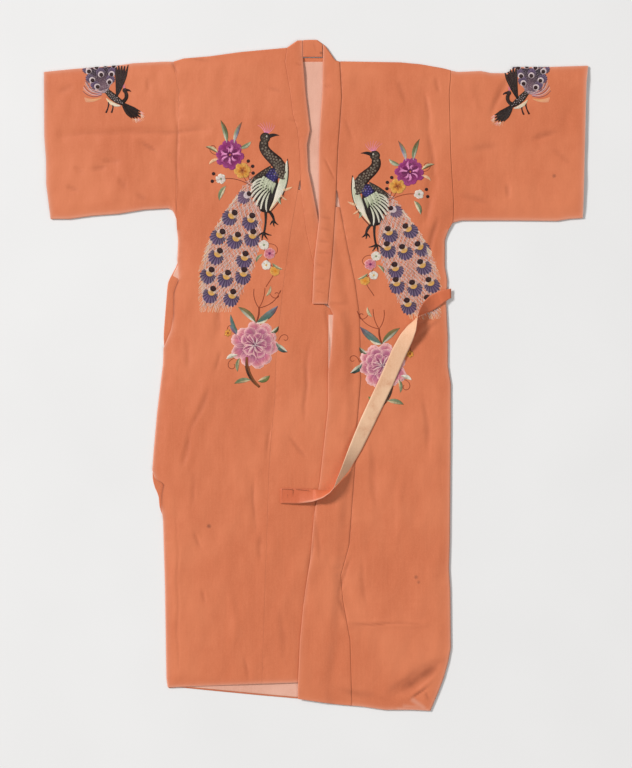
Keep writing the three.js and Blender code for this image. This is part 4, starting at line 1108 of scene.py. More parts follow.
class Needlework:
    """Stitches gathered for one panel. Places are in pixels about the current motif's origin."""

    def __init__(self, seed):
        self.random = np.random.default_rng(seed)
        self.flat, self.lift, self.colours, self.stitch, self.faces = [], [], [], [], []
        self.count = 0
        self.motif(0, 0)

    def motif(self, u, v, mirror=1, angle=0.0, stretch=1.0):
        self.origin, self.mirror, self.stretch = (u, v), mirror, stretch
        self.cos, self.sin = math.cos(math.radians(angle)), math.sin(math.radians(angle))

    def grid(self, places, lift, colours, stitch, closed=False):
        rows, columns = lift.shape
        u, v = places[..., 0], places[..., 1] * self.stretch
        turned_u, turned_v = u * self.cos - v * self.sin, u * self.sin + v * self.cos
        x, y = from_photo(self.origin[0] + self.mirror * turned_u, self.origin[1] + turned_v)
        quads = grid_quads(rows, columns, closed)
        flat = np.stack([x, y], -1).reshape(-1, 2)
        first, second = flat[quads[:, 2]] - flat[quads[:, 0]], flat[quads[:, 3]] - flat[quads[:, 1]]
        if (first[:, 0] * second[:, 1] - first[:, 1] * second[:, 0]).sum() < 0:
            quads = quads[:, ::-1]
        self.flat.append(flat)
        self.lift.append(lift.reshape(-1))
        self.colours.append(np.clip(colours, 0, 1).reshape(-1, 3))
        self.stitch.append(np.broadcast_to(stitch, lift.shape).reshape(-1))
        self.faces.append(quads + self.count)
        self.count += len(flat)

    def satin(self, spine, widths, colours, other=None, edge=None, lift=0.5, rows=14, columns=7,
              crosswise=False, rim=None, rim_from=0.3, bulge=0.0, frill=0.0):
        """A padded patch of stitches along a spine. widths are half widths at even steps along it,
        colours run from its start to its end, other is for its second half and edge for its borders.
        bulge rounds its end and frill scallops it."""
        line, heading, length = curve(spine, rows)
        side = np.stack([-heading[:, 1], heading[:, 0]], -1)
        s = np.linspace(0, 1, rows)
        half = np.maximum(np.interp(s, np.linspace(0, 1, len(widths)), widths), 0.06)
        t = np.linspace(-1, 1, columns)
        half = half + frill * np.sin(12 * s) * s
        places = line[:, None] + side[:, None] * (t[None, :, None] * half[:, None, None])
        scallop = bulge * (1 - t**2) + frill * np.cos(3 * np.pi * t)
        places = places + heading[:, None] * (scallop[None] * s[:, None] ** 4)[..., None]
        height = lift * (0.4 + 0.6 * np.sqrt(1 - t**2))[None] * np.ones((rows, 1))

        def blend(run):
            run = np.atleast_2d(run)
            ends = np.linspace(0, 1, len(run)) if len(run) > 1 else np.array([0.0])
            return np.stack([np.interp(s, ends, run[:, i]) for i in range(3)], -1)

        shade = np.broadcast_to(blend(colours)[:, None], (rows, columns, 3)).copy()
        if other is not None:
            shade[:, t < 0] = blend(other)[:, None]
        if edge is not None:
            shade = lerp(shade, np.array(edge), (np.abs(t) ** 3)[None, :, None] * 0.9)
            shade = lerp(shade, np.array(edge), (smoothstep(s, 0.82, 1.0))[:, None, None] * 0.9)
        uneven = self.random.normal(0, 0.09, rows if crosswise else columns)
        shade *= 1 + (uneven[:, None, None] if crosswise else uneven[None, :, None])
        mark = s[:, None] * length * PIXEL_MM if crosswise else (t[None] * half[:, None]) * PIXEL_MM
        mark = np.broadcast_to(mark, (rows, columns))

        def skirted(values):
            values = np.concatenate([values[:, :1], values, values[:, -1:]], 1)
            return np.concatenate([values[:1], values, values[-1:]], 0)

        height = skirted(height)
        height[[0, -1]] = SKIRT
        height[:, [0, -1]] = SKIRT
        self.grid(skirted(places), height, skirted(shade), skirted(mark))
        if rim is not None:
            kept = s >= rim_from
            border = np.concatenate([places[kept, 0], places[-1, 1:-1], places[kept, -1][::-1]])
            self.thread(border, 0.6, rim, lift=lift + 0.16, count=len(border))

    def thread(self, points, width, colour, end=None, lift=0.45, count=None):
        """One laid thread, half round. width is half its width."""
        count = count or (2 if len(points) == 2 else 5 * (len(points) - 1))
        line, heading, length = curve(points, count)
        side = np.stack([-heading[:, 1], heading[:, 0]], -1)
        t = np.array([-1.0, 0.0, 1.0])
        places = line[:, None] + side[:, None] * (t[None, :, None] * width)
        height = np.where(t == 0, lift, SKIRT)[None] * np.ones((count, 1))
        s = np.linspace(0, 1, count)[:, None, None]
        shade = lerp(np.array(colour), np.array(colour if end is None else end), s) * np.ones((1, 3, 1))
        shade *= 1 + self.random.normal(0, 0.08)
        self.grid(places, height, shade, s[..., 0] * length * PIXEL_MM)

    def knot(self, centre, radius, colour, other=None, heading=(0, 1), lift=0.6, around=14):
        """A small padded disc. other is the colour of its side towards heading."""
        share = np.array([0.04, 0.45, 0.8, 1.0, 1.0])
        height = lift * np.array([1.0, 0.95, 0.75, 0.3, 0.0])
        height[-1] = SKIRT
        angle = np.linspace(0, 2 * np.pi, around, endpoint=False)
        spoke = np.stack([np.cos(angle), np.sin(angle)], -1)
        places = np.array(centre, float) + share[:, None, None] * spoke[None] * radius
        towards = 0 if other is None else smoothstep(spoke @ np.array(heading), -0.2, 0.5)[None, :, None]
        shade = lerp(np.array(colour), np.array(colour if other is None else other), towards)
        shade = shade * np.ones((len(share), around, 1))
        shade *= 1 + self.random.normal(0, 0.06, (1, around, 1))
        mark = places[..., 0] * PIXEL_MM
        self.grid(places, height[:, None] * np.ones((1, around)), shade, mark, closed=True)

    def finish(self, name, press):
        """Presses the stitches onto the cloth. press gives points for flat places and lifts."""
        flat, lift = np.concatenate(self.flat), np.concatenate(self.lift)
        points = press(flat[:, 0], flat[:, 1], lift)
        faces = np.concatenate(self.faces)
        obj = mesh_object(
            name, points, faces, (THREAD,), np.zeros(len(faces)), {"stitch": np.concatenate(self.stitch)}
        )
        colours = np.concatenate(self.colours)
        layer = obj.data.attributes.new("thread_colour", "FLOAT_COLOR", "POINT")
        layer.data.foreach_set("color", np.hstack([colours, np.ones((len(colours), 1))]).reshape(-1))
        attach(obj, "root")
        return obj


def polar(centre, radius, degrees):
    """A place round a centre. 0 degrees is to the right and 90 down."""
    angle = math.radians(degrees)
    return centre[0] + radius * math.cos(angle), centre[1] + radius * math.sin(angle)


def bow(start, finish, sag, count=6):
    """Places on a bowed line. sag is how far its middle stands off the straight line."""
    start, finish = np.array(start, float), np.array(finish, float)
    along = finish - start
    across = np.array([-along[1], along[0]]) / np.linalg.norm(along)
    share = np.linspace(0, 1, count)[:, None]
    return start + share * along + 4 * sag * share * (1 - share) * across


def fan_out(centre, radius, first, last, count):
    """Places spread evenly round a centre, between two directions in degrees."""
    return [polar(centre, radius, degrees) for degrees in np.linspace(first, last, count)]


def flower(work, centre, radius, petals, colours, edge=None, middle=None, turn=0, fullness=1.0, lift=0.45,
           pointed=False):
    """A small flower of even petals."""
    broad = radius * math.sin(math.pi / petals) * fullness
    shape = (0.25, 0.7, 1.0, 0.55, 0.06) if pointed else (0.25, 0.6, 0.95, 1.0, 0.5)
    for i in range(petals):
        degrees = turn + 360 * (i + 0.5) / petals + work.random.uniform(-4, 4)
        reach = radius * work.random.uniform(0.93, 1.05)
        spine = [polar(centre, 0.12 * radius, degrees), polar(centre, 0.6 * reach, degrees + 3),
                 polar(centre, reach, degrees)]
        work.satin(spine, [broad * part for part in shape], colours, edge=edge, lift=lift, rows=10)
    if middle is not None:
        work.knot(centre, radius * 0.27, middle, lift=lift + 0.25)


def petal_ring(work, heart, petals, reach, broad, colours, edge, lift, turn=0, rim=None):
    """A ring of broad frilled petals, no two quite alike."""
    for i in range(petals):
        degrees = turn + 360 * (i + work.random.uniform(-0.2, 0.2)) / petals
        length = reach * work.random.uniform(0.9, 1.06)
        spine = [polar(heart, 0.1 * reach, degrees - 5), polar(heart, 0.6 * length, degrees + 3),
                 polar(heart, length, degrees)]
        widths = [broad * part for part in (0.2, 0.62, 0.9, 1.0, 0.68)]
        work.satin(spine, widths, colours, edge=edge, lift=lift, rows=15, columns=11, rim=rim,
                   bulge=0.09 * reach, frill=0.06 * broad)


def heart_strokes(work, heart, count, near, reach, broad, colours, lift, turn=0, rim=None, curl=0.9):
    """Narrow stitches that run out from a flower's heart, alternately long and short."""
    for i in range(count):
        degrees = turn + 360 * i / count + work.random.uniform(-6, 6)
        length = reach * (0.74 if i % 2 else 1.0) * work.random.uniform(0.9, 1.08)
        spine = bow(polar(heart, near, degrees), polar(heart, length, degrees), curl if i % 3 else -curl)
        work.satin(spine, (0.3 * broad, 0.8 * broad, broad, 0.3 * broad), colours, lift=lift, rows=10,
                   columns=5, rim=rim, rim_from=0.1)


def leaf(work, start, degrees, length, width, colours, other, vein=None, sag=1.4):
    """A bowed leaf from its stalk outwards, in two halves of different green."""
    spine = bow(start, polar(start, length, degrees), sag)
    work.satin(spine, (0.1, 0.8 * width, width, 0.75 * width, 0.1), colours, other=other, lift=0.5,
               crosswise=True)
    if vein is not None:
        work.thread(spine, 0.22, vein, lift=0.62, count=12)


def tendril(work, start, degrees, length, curl, colour=RUST):
    """A thin stem that bends more and more and ends in a small coil. curl is -1 or 1."""
    steps = 14
    places = [start]
    for step in range(steps):
        degrees += curl * (3 + 2.7 * step)
        places.append(polar(places[-1], length / steps, degrees))
    work.thread(places, 0.5, colour, count=44)


TAIL_TOP, TAIL_LENGTH = -6, 127
EYE_ROWS = (1, 2, 3, 2, 3, 2)  # the eyed feathers in each row down the tail
EYE_ROW_STEP = 19
BARB_ROW_STEP, BARB_STEP, BARB_LEAN = 2.3, 1.1, 24
FRINGE_STEP, HEM_FRINGE_STEP = 1.9, 1.7


def tail_sides(down):
    """The tail's outer and inner borders, at a distance down from its root."""
    share = (down - TAIL_TOP) / TAIL_LENGTH
    outer = -12 - 47 * math.sin(min(1.3 * share, 1) * math.pi / 2)
    inner = 6 * math.sin(math.pi * share) - 5 - 25 * share**3
    return outer, inner


def fan(work, centre, heading, near, reach, shades):
    """Dark barbs spread like a shuttlecock from a feather's eye, with pale threads between them."""
    turns = np.radians(np.linspace(-118, 118, 21))
    length = near + (reach - near) * (0.5 + 0.5 * np.maximum(0, np.cos(turns * 0.76)) ** 1.5)
    length *= work.random.uniform(0.93, 1.04, len(turns))
    length[1::2] *= 0.88
    angle = math.atan2(heading[1], heading[0]) + turns * 0.76
    spoke = np.stack([np.cos(angle), np.sin(angle)], -1)
    share = np.array([0.0, 0.5, 0.9, 1.0])[:, None]
    places = np.array(centre) + spoke[None] * (near + share * (length - near))[..., None]
    outermost = (np.abs(turns) / turns.max()) ** 2
    shade = lerp(shades[0], shades[1], work.random.uniform(0, 1, (1, len(turns), 1)))
    shade = lerp(shade, BROWN, outermost[None, :, None])
    shade = shade * np.ones((4, 1, 1))
    shade[:, 1::2] = lerp(shade[:, 1::2], FROST, np.array([0.05, 0.3, 0.42, 0.15])[:, None, None])
    height = np.array([0.5, 0.5, 0.4, SKIRT])[:, None] * np.ones((1, len(turns)))
    work.grid(places, height, shade, places[..., 0] * PIXEL_MM)


def eyed_feather(work, centre, heading, size=1.0, ring_end=GOLD, reach=13.5, shades=(NAVY, PURPLE),
                 rise=3.0):
    """A tail feather's eye: a maroon spot on a pale and gold oval, above dark barbs fanned out."""
    ring = np.array(centre) + np.array(heading) * rise * size
    fan(work, ring, heading, 2.5 * size, reach * size, shades)
    pale = lerp(LILAC, ring_end, 0.3)
    work.knot(ring, 4.7 * size, pale, other=ring_end, heading=heading, lift=0.75, around=18)
    work.knot(ring, 3.2 * size, lerp(LILAC, ring_end, 0.85) * 0.86, lift=0.82, around=16)
    work.knot(centre, 3.3 * size, MAROON, lift=1.05, around=16)


def barb(work, centre, angle, half_length, shade, width=0.32):
    step = np.array([math.cos(angle), math.sin(angle)]) * half_length * work.random.uniform(0.85, 1.15)
    work.thread([centre - step, centre + step], width, shade, lift=0.35)


def tail_fringe(work, start, finish):
    """One pale thread that frays out of the tail's border."""
    finish = np.array(finish) + work.random.uniform(-0.9, 0.9, 2)
    work.thread([start, finish], 0.36, lerp(CREAM, HAZE, work.random.uniform(0, 0.9)), lift=0.35)


def tail(work):
    bottom = TAIL_TOP + TAIL_LENGTH
    for row, down in enumerate(np.arange(TAIL_TOP, bottom, BARB_ROW_STEP)):
        outer, inner = tail_sides(down)
        for column, across in enumerate(np.arange(outer, inner, BARB_STEP)):
            centre = np.array([across, down]) + work.random.uniform(-0.65, 0.65, 2)
            lean = BARB_LEAN if (row + column // 2) % 2 else -BARB_LEAN
            lean = math.radians(lean + work.random.uniform(-6, 6))
            shade = lerp(HAZE, TAUPE if column % 2 else LILAC, work.random.uniform(0.2, 1.0))
            barb(work, centre, math.atan2(centre[1] + 16, centre[0] * 0.8) + lean, 2.7, shade, 0.34)
    for down in np.arange(4, bottom, FRINGE_STEP):
        outer = tail_sides(down)[0]
        tail_fringe(work, (outer + 3.0, down - 2.5), (outer - 4.2, down + 5.4))
    for across in np.arange(*tail_sides(bottom), HEM_FRINGE_STEP):
        tail_fringe(work, (across, bottom - 2), (across * 1.05, bottom + 6))
    for row, count in enumerate(EYE_ROWS):
        down = 9 + EYE_ROW_STEP * row
        outer, inner = tail_sides(down)
        for k in range(count):
            place = np.array([lerp(outer, inner, (k + 0.5) / count), down + 3 * (k % 2)])
            heading = place / np.linalg.norm(place)
            if row == 0:
                eyed_feather(work, place, heading, size=0.84, ring_end=LILAC, shades=(DUSK, PURPLE))
            else:
                eyed_feather(work, place, heading)


NECK_SHARE = np.linspace(0, 1, 9)
NECK = np.stack([4 + 12.5 * NECK_SHARE - 5 * np.sin(2 * np.pi * NECK_SHARE), 40 * NECK_SHARE - 47], -1)
NECK_WIDTHS = 3.8 + 3.6 * NECK_SHARE**1.3
WING_QUILLS = 8
SCALE_PLACES = 200


def scales(work, spine, widths, step, colour, size=0.95, lift=1.15):
    """Rows of small raised scales over a patch."""
    line, heading, length = curve(spine, SCALE_PLACES)
    last = SCALE_PLACES - 1
    for row, place in enumerate(np.arange(step / 2, length, step)):
        i = min(last, int(place / length * last))
        half = float(np.interp(i / last, np.linspace(0, 1, len(widths)), widths)) - 0.7 * size
        side = np.array([-heading[i, 1], heading[i, 0]])
        count = max(1, int(2 * half / step))
        for k in range(count):
            offset = (k + 0.5 + 0.5 * (row % 2)) / count * 2 * half - half
            if abs(offset) < half:
                shade = colour * work.random.uniform(0.5, 1.2)
                work.knot(line[i] + side * offset, size, shade, lift=lift, around=8)


def neck_borders(work):
    """Dark threads along both edges of the neck."""
    line, heading, _ = curve(NECK, 30)
    side = np.stack([-heading[:, 1], heading[:, 0]], -1)
    half = np.interp(np.linspace(0, 1, 30), NECK_SHARE, NECK_WIDTHS)[:, None]
    for border in ((line + side * half)[3:24], (line - side * half)[3:20]):
        work.thread(border, 0.65, BLACK, lift=0.9, count=38)


def foot(work, ankle, first, last, toes, reach):
    """Toes spread from the ankle, between two directions in degrees."""
    for toe in fan_out(ankle, reach, first, last, toes):
        work.satin(bow(ankle, toe, 0.6), (0.9, 0.85, 0.3), BLACK, lift=0.75)


def peacock(work):
    """A standing bird, about the root of its tail, facing the garment's middle."""
    tail(work)
    rump, rump_widths = bow((9.5, -16), (-11, -2), 1), (3.0, 3.2, 2.8, 0.8)
    work.satin(rump, rump_widths, OLIVE, lift=0.55, rows=20, crosswise=True)
    scales(work, rump, rump_widths, 2.3, SCALE, 0.85)
    work.thread(bow((10, -19.5), (-12, -4.5), 1), 0.6, BLACK, lift=0.8)
    work.satin(bow((7, -9), (2.5, 26), 0.8), (9, 12, 9, 4.6), BLACK, lift=0.45, bulge=1.5)
    for share in np.linspace(0, 1, WING_QUILLS):
        start = lerp(np.array([1.5, -6.0]), np.array([7.6, 7.5]), share)
        tip = np.array(polar((3.5, -2), lerp(13, 29, share), lerp(172, 88, share)))
        for shift, wide, shade in (((1.3, 1.1), 0.7, BLACK), ((0, 0), 1.15, IVORY)):
            work.satin(bow(start + shift, tip + shift, 1.6), (0.5 * wide, wide, wide, 0.6 * wide),
                       (PALE_GREEN * shade / IVORY, shade), lift=0.75)
    work.satin(bow((25, -24), (7.5, 26), -3.4), (0.4, 2.4, 4.2, 3.8, 1.8, 0.5),
               (IVORY, PALE_GREEN, IVORY, CREAM), lift=0.65, rows=22)
    for i in range(6):
        start = np.array([2.6 + 2.1 * i, -8.5 + 1.3 * i])
        finish = start + (-5.4 + 0.5 * i, 12.5 - 0.7 * i + 2 * (i % 2))
        tip_shade = SAGE if i % 2 else PALE_GREEN
        work.satin(bow(start, finish, 0.8), (1.1, 1.7, 1.2, 0.2), (PALE_GREEN, tip_shade), lift=0.8)
    work.satin(NECK, NECK_WIDTHS, (OLIVE, BROWN, OLIVE), lift=0.75, rows=26, columns=9, crosswise=True)
    scales(work, NECK, NECK_WIDTHS, 2.45, SCALE, 1.3)
    work.satin(bow((10.5, -17), (11.5, -3), 0), (1.2, 6.0, 7.6, 5.5, 0.6), (NAVY, silk(52, 42, 112)),
               lift=0.95, crosswise=True)
    scales(work, [(10.5, -15.5), (11.5, -4)], (2.0, 6.4, 6.4, 2.0), 2.5, silk(116, 100, 172), 0.85, lift=1.4)
    neck_borders(work)
    work.thread(bow((25.5, -26), (8.5, 27), -7.2), 0.6, BLACK, lift=0.85, count=40)
    head = (3.4, -47)
    work.knot(head, 4.9, OLIVE, lift=0.95)
    scales(work, bow((-0.6, -48), (4.6, -45), 0), (2.4, 3.4, 2.4), 2.4, SCALE, 0.9, lift=1.35)
    work.thread(fan_out(head, 4.9, 150, 310, 6), 0.6, BLACK, lift=1.0)
    work.satin(bow((6, -48), (17, -49.5), -1), (2.2, 1.6, 0.2), BLACK, lift=0.95)
    work.knot((4.8, -48.4), 1.25, IVORY, lift=1.15, around=10)
    work.knot((5.0, -48.4), 0.7, BLACK, lift=1.35, around=8)
    for i, tip in enumerate(fan_out((4, -50), 13, 230, 312, 7)):
        work.thread(bow((3 + 0.5 * i, -51.8), tip, 1), 0.42, PINK_THREAD, end=CORAL_PINK)
    work.satin(bow((3.4, 25), (2, 48), -1), (1.5, 1.05, 1.0), BLACK, lift=0.8)
    foot(work, (2, 47.5), 20, 145, 4, 8)
    work.satin(bow((6, 25.5), (12, 36), -1.2), (1.3, 1.5, 1.0), BLACK, lift=0.8)
    foot(work, (12, 35.5), 45, 130, 3, 6)


def blossom_spray(work):
    """A sprig of flowers behind the bird's back, and small flowers at its breast and feet."""
    root, heart, orange, white = (-11, 1), (-32, -30), (-19.5, -14.5), (-41, -6)
    for place, sag in ((heart, 4), (orange, -2), (white, 3)):
        work.thread(bow(root, place, sag), 0.6, RUST)
    leaf(work, polar(heart, 12, 255), 255, 24, 2.5, (SAGE, LEAF, STEM), (IVORY, SAGE, LEAF), vein=LEAF)
    leaf(work, polar(heart, 12, 290), 290, 23, 2.2, (LILAC, GREY_BLUE, STEM), (IVORY, SAGE, STEM), sag=-1.4)
    leaf(work, polar(heart, 12, 325), 330, 13, 2.2, (SAGE, PALE_GREEN), (LEAF, SAGE))
    leaf(work, polar(heart, 12, 190), 205, 14, 2.0, (CREAM, SAGE), (LEAF, STEM))
    leaf(work, polar(heart, 12, 160), 150, 11, 1.5, (PEACH, CREAM), (CREAM, PEACH))
    tendril(work, polar(heart, 14, 180), 195, 20, 1)
    petal_ring(work, heart, 10, 13.6, 4.9, (PLUM, MAGENTA, ORCHID), ORCHID, 0.42)
    petal_ring(work, heart, 6, 9.4, 3.3, (PLUM, MAGENTA), ORCHID, 0.64, turn=20)
    heart_strokes(work, heart, 11, 2.8, 11.4, 1.3, (PINK_THREAD, PINK_THREAD, ORCHID), 0.95,
                  turn=8, curl=1.9)
    flower(work, orange, 8.2, 6, (ORANGE, GOLD), edge=GOLD, fullness=0.9, turn=20)
    flower(work, orange, 5.4, 5, (RUST, ORANGE), edge=GOLD, fullness=0.7, turn=50, pointed=True, lift=0.7)
    for centre, reach, start, finish, count in ((orange, 11, -58, 14, 3), (white, 9, 165, 215, 2)):
        for berry in fan_out(centre, reach, start, finish, count):
            work.thread([centre, berry], 0.32, RUST)
            work.knot(berry, 1.8, MAROON, lift=0.8, around=10)
    flower(work, white, 5.0, 6, (LILAC, IVORY), edge=IVORY, middle=SAGE, fullness=0.86, turn=-18)
    leaf(work, (-36, 1), 115, 16, 2.6, (SAGE, LEAF), (CREAM, PALE_GREEN), vein=LEAF)
    breast = (16, 5)
    leaf(work, breast, -12, 15, 1.5, (CREAM, PEACH), (PEACH, CREAM))
    leaf(work, breast, 78, 15, 2.2, (SAGE, PALE_GREEN), (LEAF, SAGE))
    leaf(work, breast, 48, 14, 1.2, (PEACH, CREAM), (PEACH, PEACH))
    tendril(work, breast, 10, 18, 1)
    stem = bow((2, 60), (13, 86), 2.5, 4)
    work.thread([*stem, (4, 102)], 0.6, RUST)
    tendril(work, stem[0], -20, 30, 1)
    for place, radius, petals, colours, edge, middle in (
        (stem[0], 5.0, 5, (IVORY, IVORY), LILAC, SAGE),
        (stem[1] + (4, -1), 5.8, 6, (ROSE, CORAL_PINK), BLUSH, MAGENTA),
        (stem[2] + (-3, 2), 4.6, 5, (IVORY, IVORY), LILAC, GOLD),
        (stem[3], 5.0, 6, (ORANGE, GOLD), GOLD, ORANGE),
    ):
        flower(work, place, radius, petals, colours, edge=edge, middle=middle)
    leaf(work, stem[2] + (3, 0), 30, 12, 1.7, (LEAF, SAGE), (SAGE, CREAM))
    leaf(work, stem[1] + (-3, 0), 130, 10, 1.5, (SAGE, LEAF), (CREAM, SAGE))


def peony(work, heart):
    """Three rings of petals with dark and pale stitches at the heart."""
    inner = (heart[0] + 1.5, heart[1] - 2.5)
    petal_ring(work, heart, 10, 22, 7.6, (MAUVE, MAUVE, ROSE, CORAL_PINK), BLUSH, 0.42, turn=9, rim=BLUSH)
    petal_ring(work, inner, 7, 15.5, 6.2, (MAUVE, ROSE), BLUSH, 0.62, turn=30, rim=BLUSH)
    petal_ring(work, inner, 5, 9.5, 4.6, (MAUVE, ROSE), BLUSH, 0.76, turn=5, rim=BLUSH)
    heart_strokes(work, heart, 10, 1.2, 13, 1.5, (PLUM, ROSE), 0.92, turn=12, rim=BLUSH)
    heart_strokes(work, heart, 7, 0.5, 11, 0.9, (LILAC, BLUSH), 1.05, turn=30)


def peony_branch(work):
    """A peony on a brown stem, about the flower's middle."""
    heart, foot_of_stem, top, fork = (-1, 2), (3.5, 44), (0, -20), (3, -35)
    work.satin(bow((-9, 14), foot_of_stem, 4.5), (1.8, 2.1, 1.9, 1.2), (STEM, BROWN, STEM),
               other=(RUST, STEM, STEM), lift=0.6, rows=20)
    leaf(work, (-5, 37), 168, 17, 2.6, (SAGE, LEAF), (CREAM, LEAF), vein=LEAF)
    leaf(work, (2, 38), -25, 13, 2.8, (LEAF, silk(124, 128, 62)), (CREAM, LEAF))
    work.satin(bow(top, fork, 1), (0.7, 0.85, 0.7), RUST, lift=0.6)
    for tip, sag in (((-2, -54), -2), ((9, -55), 1.5), ((25, -53), 4)):
        work.thread(bow(fork, tip, sag), 0.6, RUST)
    tendril(work, (14, -49), 60, 18, -1)
    leaf(work, (10, -47), -65, 11, 1.5, (SAGE, CREAM), (CREAM, LEAF))
    leaf(work, top, 222, 24, 3.2, (LEAF, silk(138, 112, 66)), (IVORY, LEAF), vein=LEAF)
    leaf(work, top, 322, 28, 3.6, (SEA, SEA, MAUVE), (LEAF, GREY_BLUE), vein=SEA)
    leaf(work, top, 340, 13, 1.5, (IVORY, CREAM), (IVORY, SAGE))
    leaf(work, polar(heart, 20, -38), -40, 10, 2.2, (LEAF, BROWN), (IVORY, SAGE))
    leaf(work, polar(heart, 21, -6), 38, 15, 3.0, (SEA, BLACK), (SAGE, IVORY), vein=LEAF)
    tendril(work, polar(heart, 24, -10), -75, 20, 1)
    leaf(work, polar(heart, 21, 214), 250, 20, 2.0, (LEAF, SEA, SEA), (GREY_BLUE, SEA), sag=-1.4)
    leaf(work, polar(heart, 21, 208), 235, 12, 2.8, (GREY_BLUE, SEA), (MAUVE, GREY_BLUE))
    bud = (-28, -10)
    flower(work, bud, 4.0, 6, (ORANGE, GOLD), edge=RUST, pointed=True, middle=RUST)
    tendril(work, bud, 250, 17, 1)
    leaf(work, polar(heart, 20, 150), 160, 12, 2.2, (IVORY, IVORY), (SAGE, IVORY))
    leaf(work, polar(heart, 20, 140), 98, 14, 1.9, (LEAF, SAGE), (CREAM, LEAF))
    tendril(work, polar(heart, 23, 146), 168, 24, -1)
    peony(work, heart)


FAN_ROWS, FAN_STEP = 17, 2.1
FAN_COLUMNS, FAN_DEGREES = 34, 3.2


def flying_bird(work):
    """A bird in flight, part of it over the sleeve's top fold, facing the garment's middle."""
    root = (6, 11)
    first, last = 184, 292
    work.satin(bow((3, 8), (-1, -30), -1.5), (5, 12.5, 15, 13.5), (DUSK, NIGHT, DUSK), lift=0.3,
               rows=18, columns=11, bulge=2)
    for row in range(FAN_ROWS):
        for column in range(FAN_COLUMNS):
            degrees = first + column * FAN_DEGREES
            reach = 3 + row * FAN_STEP
            if reach > 16 + 22 * math.sin((degrees - first) / (last - first) * math.pi / 2):
                continue
            centre = np.array(polar(root, reach, degrees)) + work.random.uniform(-0.4, 0.4, 2)
            lean = 26 if (row + column) % 2 else -26
            shade = lerp(LILAC, PURPLE, work.random.uniform(0, 0.9))
            barb(work, centre, math.radians(degrees + lean), 1.6, shade)
    for i in range(9):
        tip = polar(root, 24, 184 + 4.5 * i)
        work.thread(bow((1, 13 - 0.3 * i), tip, -3.5), 0.42, (PURPLE, CORAL_PINK, LILAC)[i % 3],
                    end=(DUSK, PEACH, LILAC)[i % 3])
    for i, tip in enumerate(fan_out(root, 23, 157, 168, 6)):
        work.thread(bow((0.5, 16), tip, -1.5), 0.5, GOLD if i % 2 else PEACH, end=PEACH)
    for reach, count in ((11, 2), (19, 3), (28, 4)):
        for place in fan_out(root, reach, first + 18 + reach, last - 8, count):
            heading = np.array(place) - root
            eyed_feather(work, place, heading / np.linalg.norm(heading), size=0.72, ring_end=LILAC, reach=11,
                         shades=(NIGHT, PURPLE), rise=1.0)
    shoulder, chest = (15.5, 15), (21, 20.5)
    for i, tip in enumerate(fan_out(shoulder, 34, 268, 290, 5)):
        quill = bow(shoulder, tip, 1.2)
        work.satin(quill, (0.8, 1.5, 1.7, 0.4), (BLACK, MAROON if i % 2 else BROWN), lift=0.8)
        work.thread(quill[1:-1], 0.26, SCALE, lift=0.98)
    for i, tip in enumerate(fan_out(chest, 24, 26, 58, 6)):
        tip = lerp(np.array(tip), np.array(chest), 0.07 * abs(i - 2))
        for end in fan_out(tip, 4.5, 30, 70, 3):
            work.thread([tip, end], 0.3, (BLUSH, IVORY, PEACH)[i % 3], lift=0.4)
        work.satin(bow(chest, tip, 0.8), (0.9, 1.7, 2.0, 0.4), (BLACK, BROWN if i % 2 else BLACK), lift=0.85)
    body, widths = bow((6, 9), (22, 21.5), 1), (2.6, 3.6, 3.4, 2.2)
    for start, finish in (((8, 20), (5, 31)), ((12, 21.5), (10.5, 31))):
        work.satin(bow(start, finish, -0.7), (0.9, 0.6, 0.9), MAROON, lift=0.7)
    work.satin(bow((5.5, 16.5), (20, 24), 2), (0.3, 1.7, 1.7, 0.4), (CREAM, IVORY), lift=0.85)
    work.satin(body, widths, (OLIVE, BLACK), lift=0.9, crosswise=True)
    scales(work, body, widths, 1.9, LILAC * 0.6, 0.7, lift=1.35)
    work.satin(bow(chest, (24, 9), 3), (2.2, 1.8, 1.9, 1.6), (BLACK, BROWN), lift=0.85, crosswise=True)
    work.knot((24, 8.6), 2.5, BROWN, lift=0.95, around=12)
    work.satin(bow((25.6, 8.2), (30, 9.8), -0.5), (1.3, 1.0, 0.25), MAROON, lift=0.9)
    for tip in fan_out((23.6, 7), 5, 235, 275, 3):
        work.thread([(23.6, 7), tip], 0.3, PINK_THREAD, lift=0.6)


def press_on(height):
    """Presses stitches onto a panel whose upper cloth has the given height."""
    return lambda x, y, lift: np.stack([x, y, height(x, y) + CLOTH_WALL / 2 + lift], -1)


BACK_LIFT = 0.35


def press_on_sleeve(top_line):
    """Presses stitches onto a sleeve, and past its top fold round onto its back."""
    outside = FOLD_RADIUS + CLOTH_WALL / 2

    def press(x, y, lift):
        start = y_at(top_line, x) - outside
        past = y - start
        angle = np.clip(past / outside, 0, np.pi)
        behind = np.maximum(0, past - np.pi * outside)
        out_z = np.cos(angle)
        over = FRONT_Z + relief(x, np.minimum(y, start)) + CLOTH_WALL / 2 + lift
        round_z = FOLD_MIDDLE_Z + (outside + lift) * out_z
        round_y = start + (outside + lift) * np.sin(angle) - behind
        clear = np.maximum(round_z, EMBROIDERY_ROOM - BACK_LIFT * lift)
        return np.stack([x, np.where(past < 0, y, round_y), np.where(past < 0, over, clear)], -1)

    return press


def embroider_front(name, seed, bird, branch, mirror, stretch, height):
    """One front's embroidery. bird and branch are the motifs' places in the photograph's pixels."""
    work = Needlework(seed)
    work.motif(*bird, mirror=mirror, stretch=stretch)
    peacock(work)
    blossom_spray(work)
    work.motif(*branch, mirror=mirror)
    peony_branch(work)
    return work.finish(name, press_on(height))


def embroider_sleeve(name, seed, bird, mirror, angle, top_line):
    work = Needlework(seed)
    work.motif(*bird, mirror=mirror, angle=angle)
    flying_bird(work)
    return work.finish(name, press_on_sleeve(top_line))


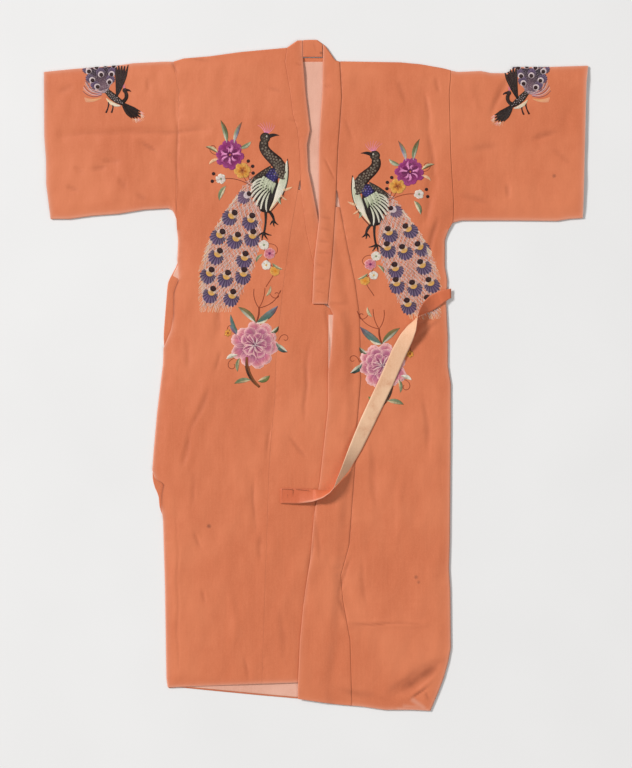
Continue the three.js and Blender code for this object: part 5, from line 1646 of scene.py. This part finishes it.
right_work = embroider_front(
    "embroidery_right", seed=11, bird=(262, 185), branch=(256, 343), mirror=1, stretch=1.0,
    height=right_front_z,
)
left_work = embroider_front(
    "embroidery_left", seed=12, bird=(378, 200), branch=(382, 364), mirror=-1, stretch=0.94,
    height=left_front_z,
)
right_bird = embroider_sleeve(
    "embroidery_sleeve_right", seed=13, bird=(101, 82), mirror=1, angle=0, top_line=RIGHT_SLEEVE_TOP,
)
left_bird = embroider_sleeve(
    "embroidery_sleeve_left", seed=14, bird=(532, 83), mirror=-1, angle=4, top_line=LEFT_SLEEVE_TOP,
)
make_cloth({"front_right": [right_work], "front_left": [left_work]})
make_sleeve(
    "sleeve_right", RIGHT_CUFF, RIGHT_ARMHOLE, RIGHT_SLEEVE_TOP, RIGHT_SLEEVE_BOTTOM
)
make_sleeve("sleeve_left", LEFT_CUFF, LEFT_ARMHOLE, LEFT_SLEEVE_TOP, LEFT_SLEEVE_BOTTOM)
make_belt()

# Stage, light and camera
FLOOR_REACH = 6.0
FLOOR_DROP = 0.0002
floor_corners = [(x * FLOOR_REACH, y * FLOOR_REACH, 0) for x, y in ((-1, -1), (1, -1), (1, 1), (-1, 1))]
floor_mesh = bpy.data.meshes.new("floor")
floor_mesh.from_pydata(floor_corners, [], [(0, 1, 2, 3)])
floor = bpy.data.objects.new("ground", floor_mesh)
floor.location.z = -FLOOR_DROP
floor_mesh.materials.append(painted_floor())
bpy.context.scene.collection.objects.link(floor)


def area_light(name, place, power, size):
    """A square light that faces the middle of the garment."""
    light = bpy.data.lights.new(name, "AREA")
    light.energy = power
    light.size = size
    obj = bpy.data.objects.new(name, light)
    obj.location = place
    direction = -obj.location
    obj.rotation_mode = "QUATERNION"
    obj.rotation_quaternion = direction.to_track_quat("-Z", "Y")
    bpy.context.scene.collection.objects.link(obj)


area_light("key", (-15.3, 8.1, 12.0), 4330, 3.9)
area_light("fill", (6.0, -6.4, 9.0), 270, 5.0)

WORLD_STRENGTH = 0.36
world = bpy.data.worlds.new("soft studio")
world.use_nodes = True
background = world.node_tree.nodes["Background"]
background.inputs["Color"].default_value = (1, 0.99, 0.98, 1)
background.inputs["Strength"].default_value = WORLD_STRENGTH
bpy.context.scene.world = world
bpy.context.scene.view_settings.view_transform = "Standard"

FRAME_HEIGHT = 1.5744
FRAME_CENTRE_Y = -0.0179
LENS = 85
SENSOR = 36
camera_data = bpy.data.cameras.new("camera")
camera_data.lens = LENS
camera_data.sensor_width = SENSOR
camera = bpy.data.objects.new("camera", camera_data)
camera.location = (0, FRAME_CENTRE_Y, FRAME_HEIGHT * LENS / SENSOR + FRONT_Z * MM)
bpy.context.scene.collection.objects.link(camera)
bpy.context.scene.camera = camera
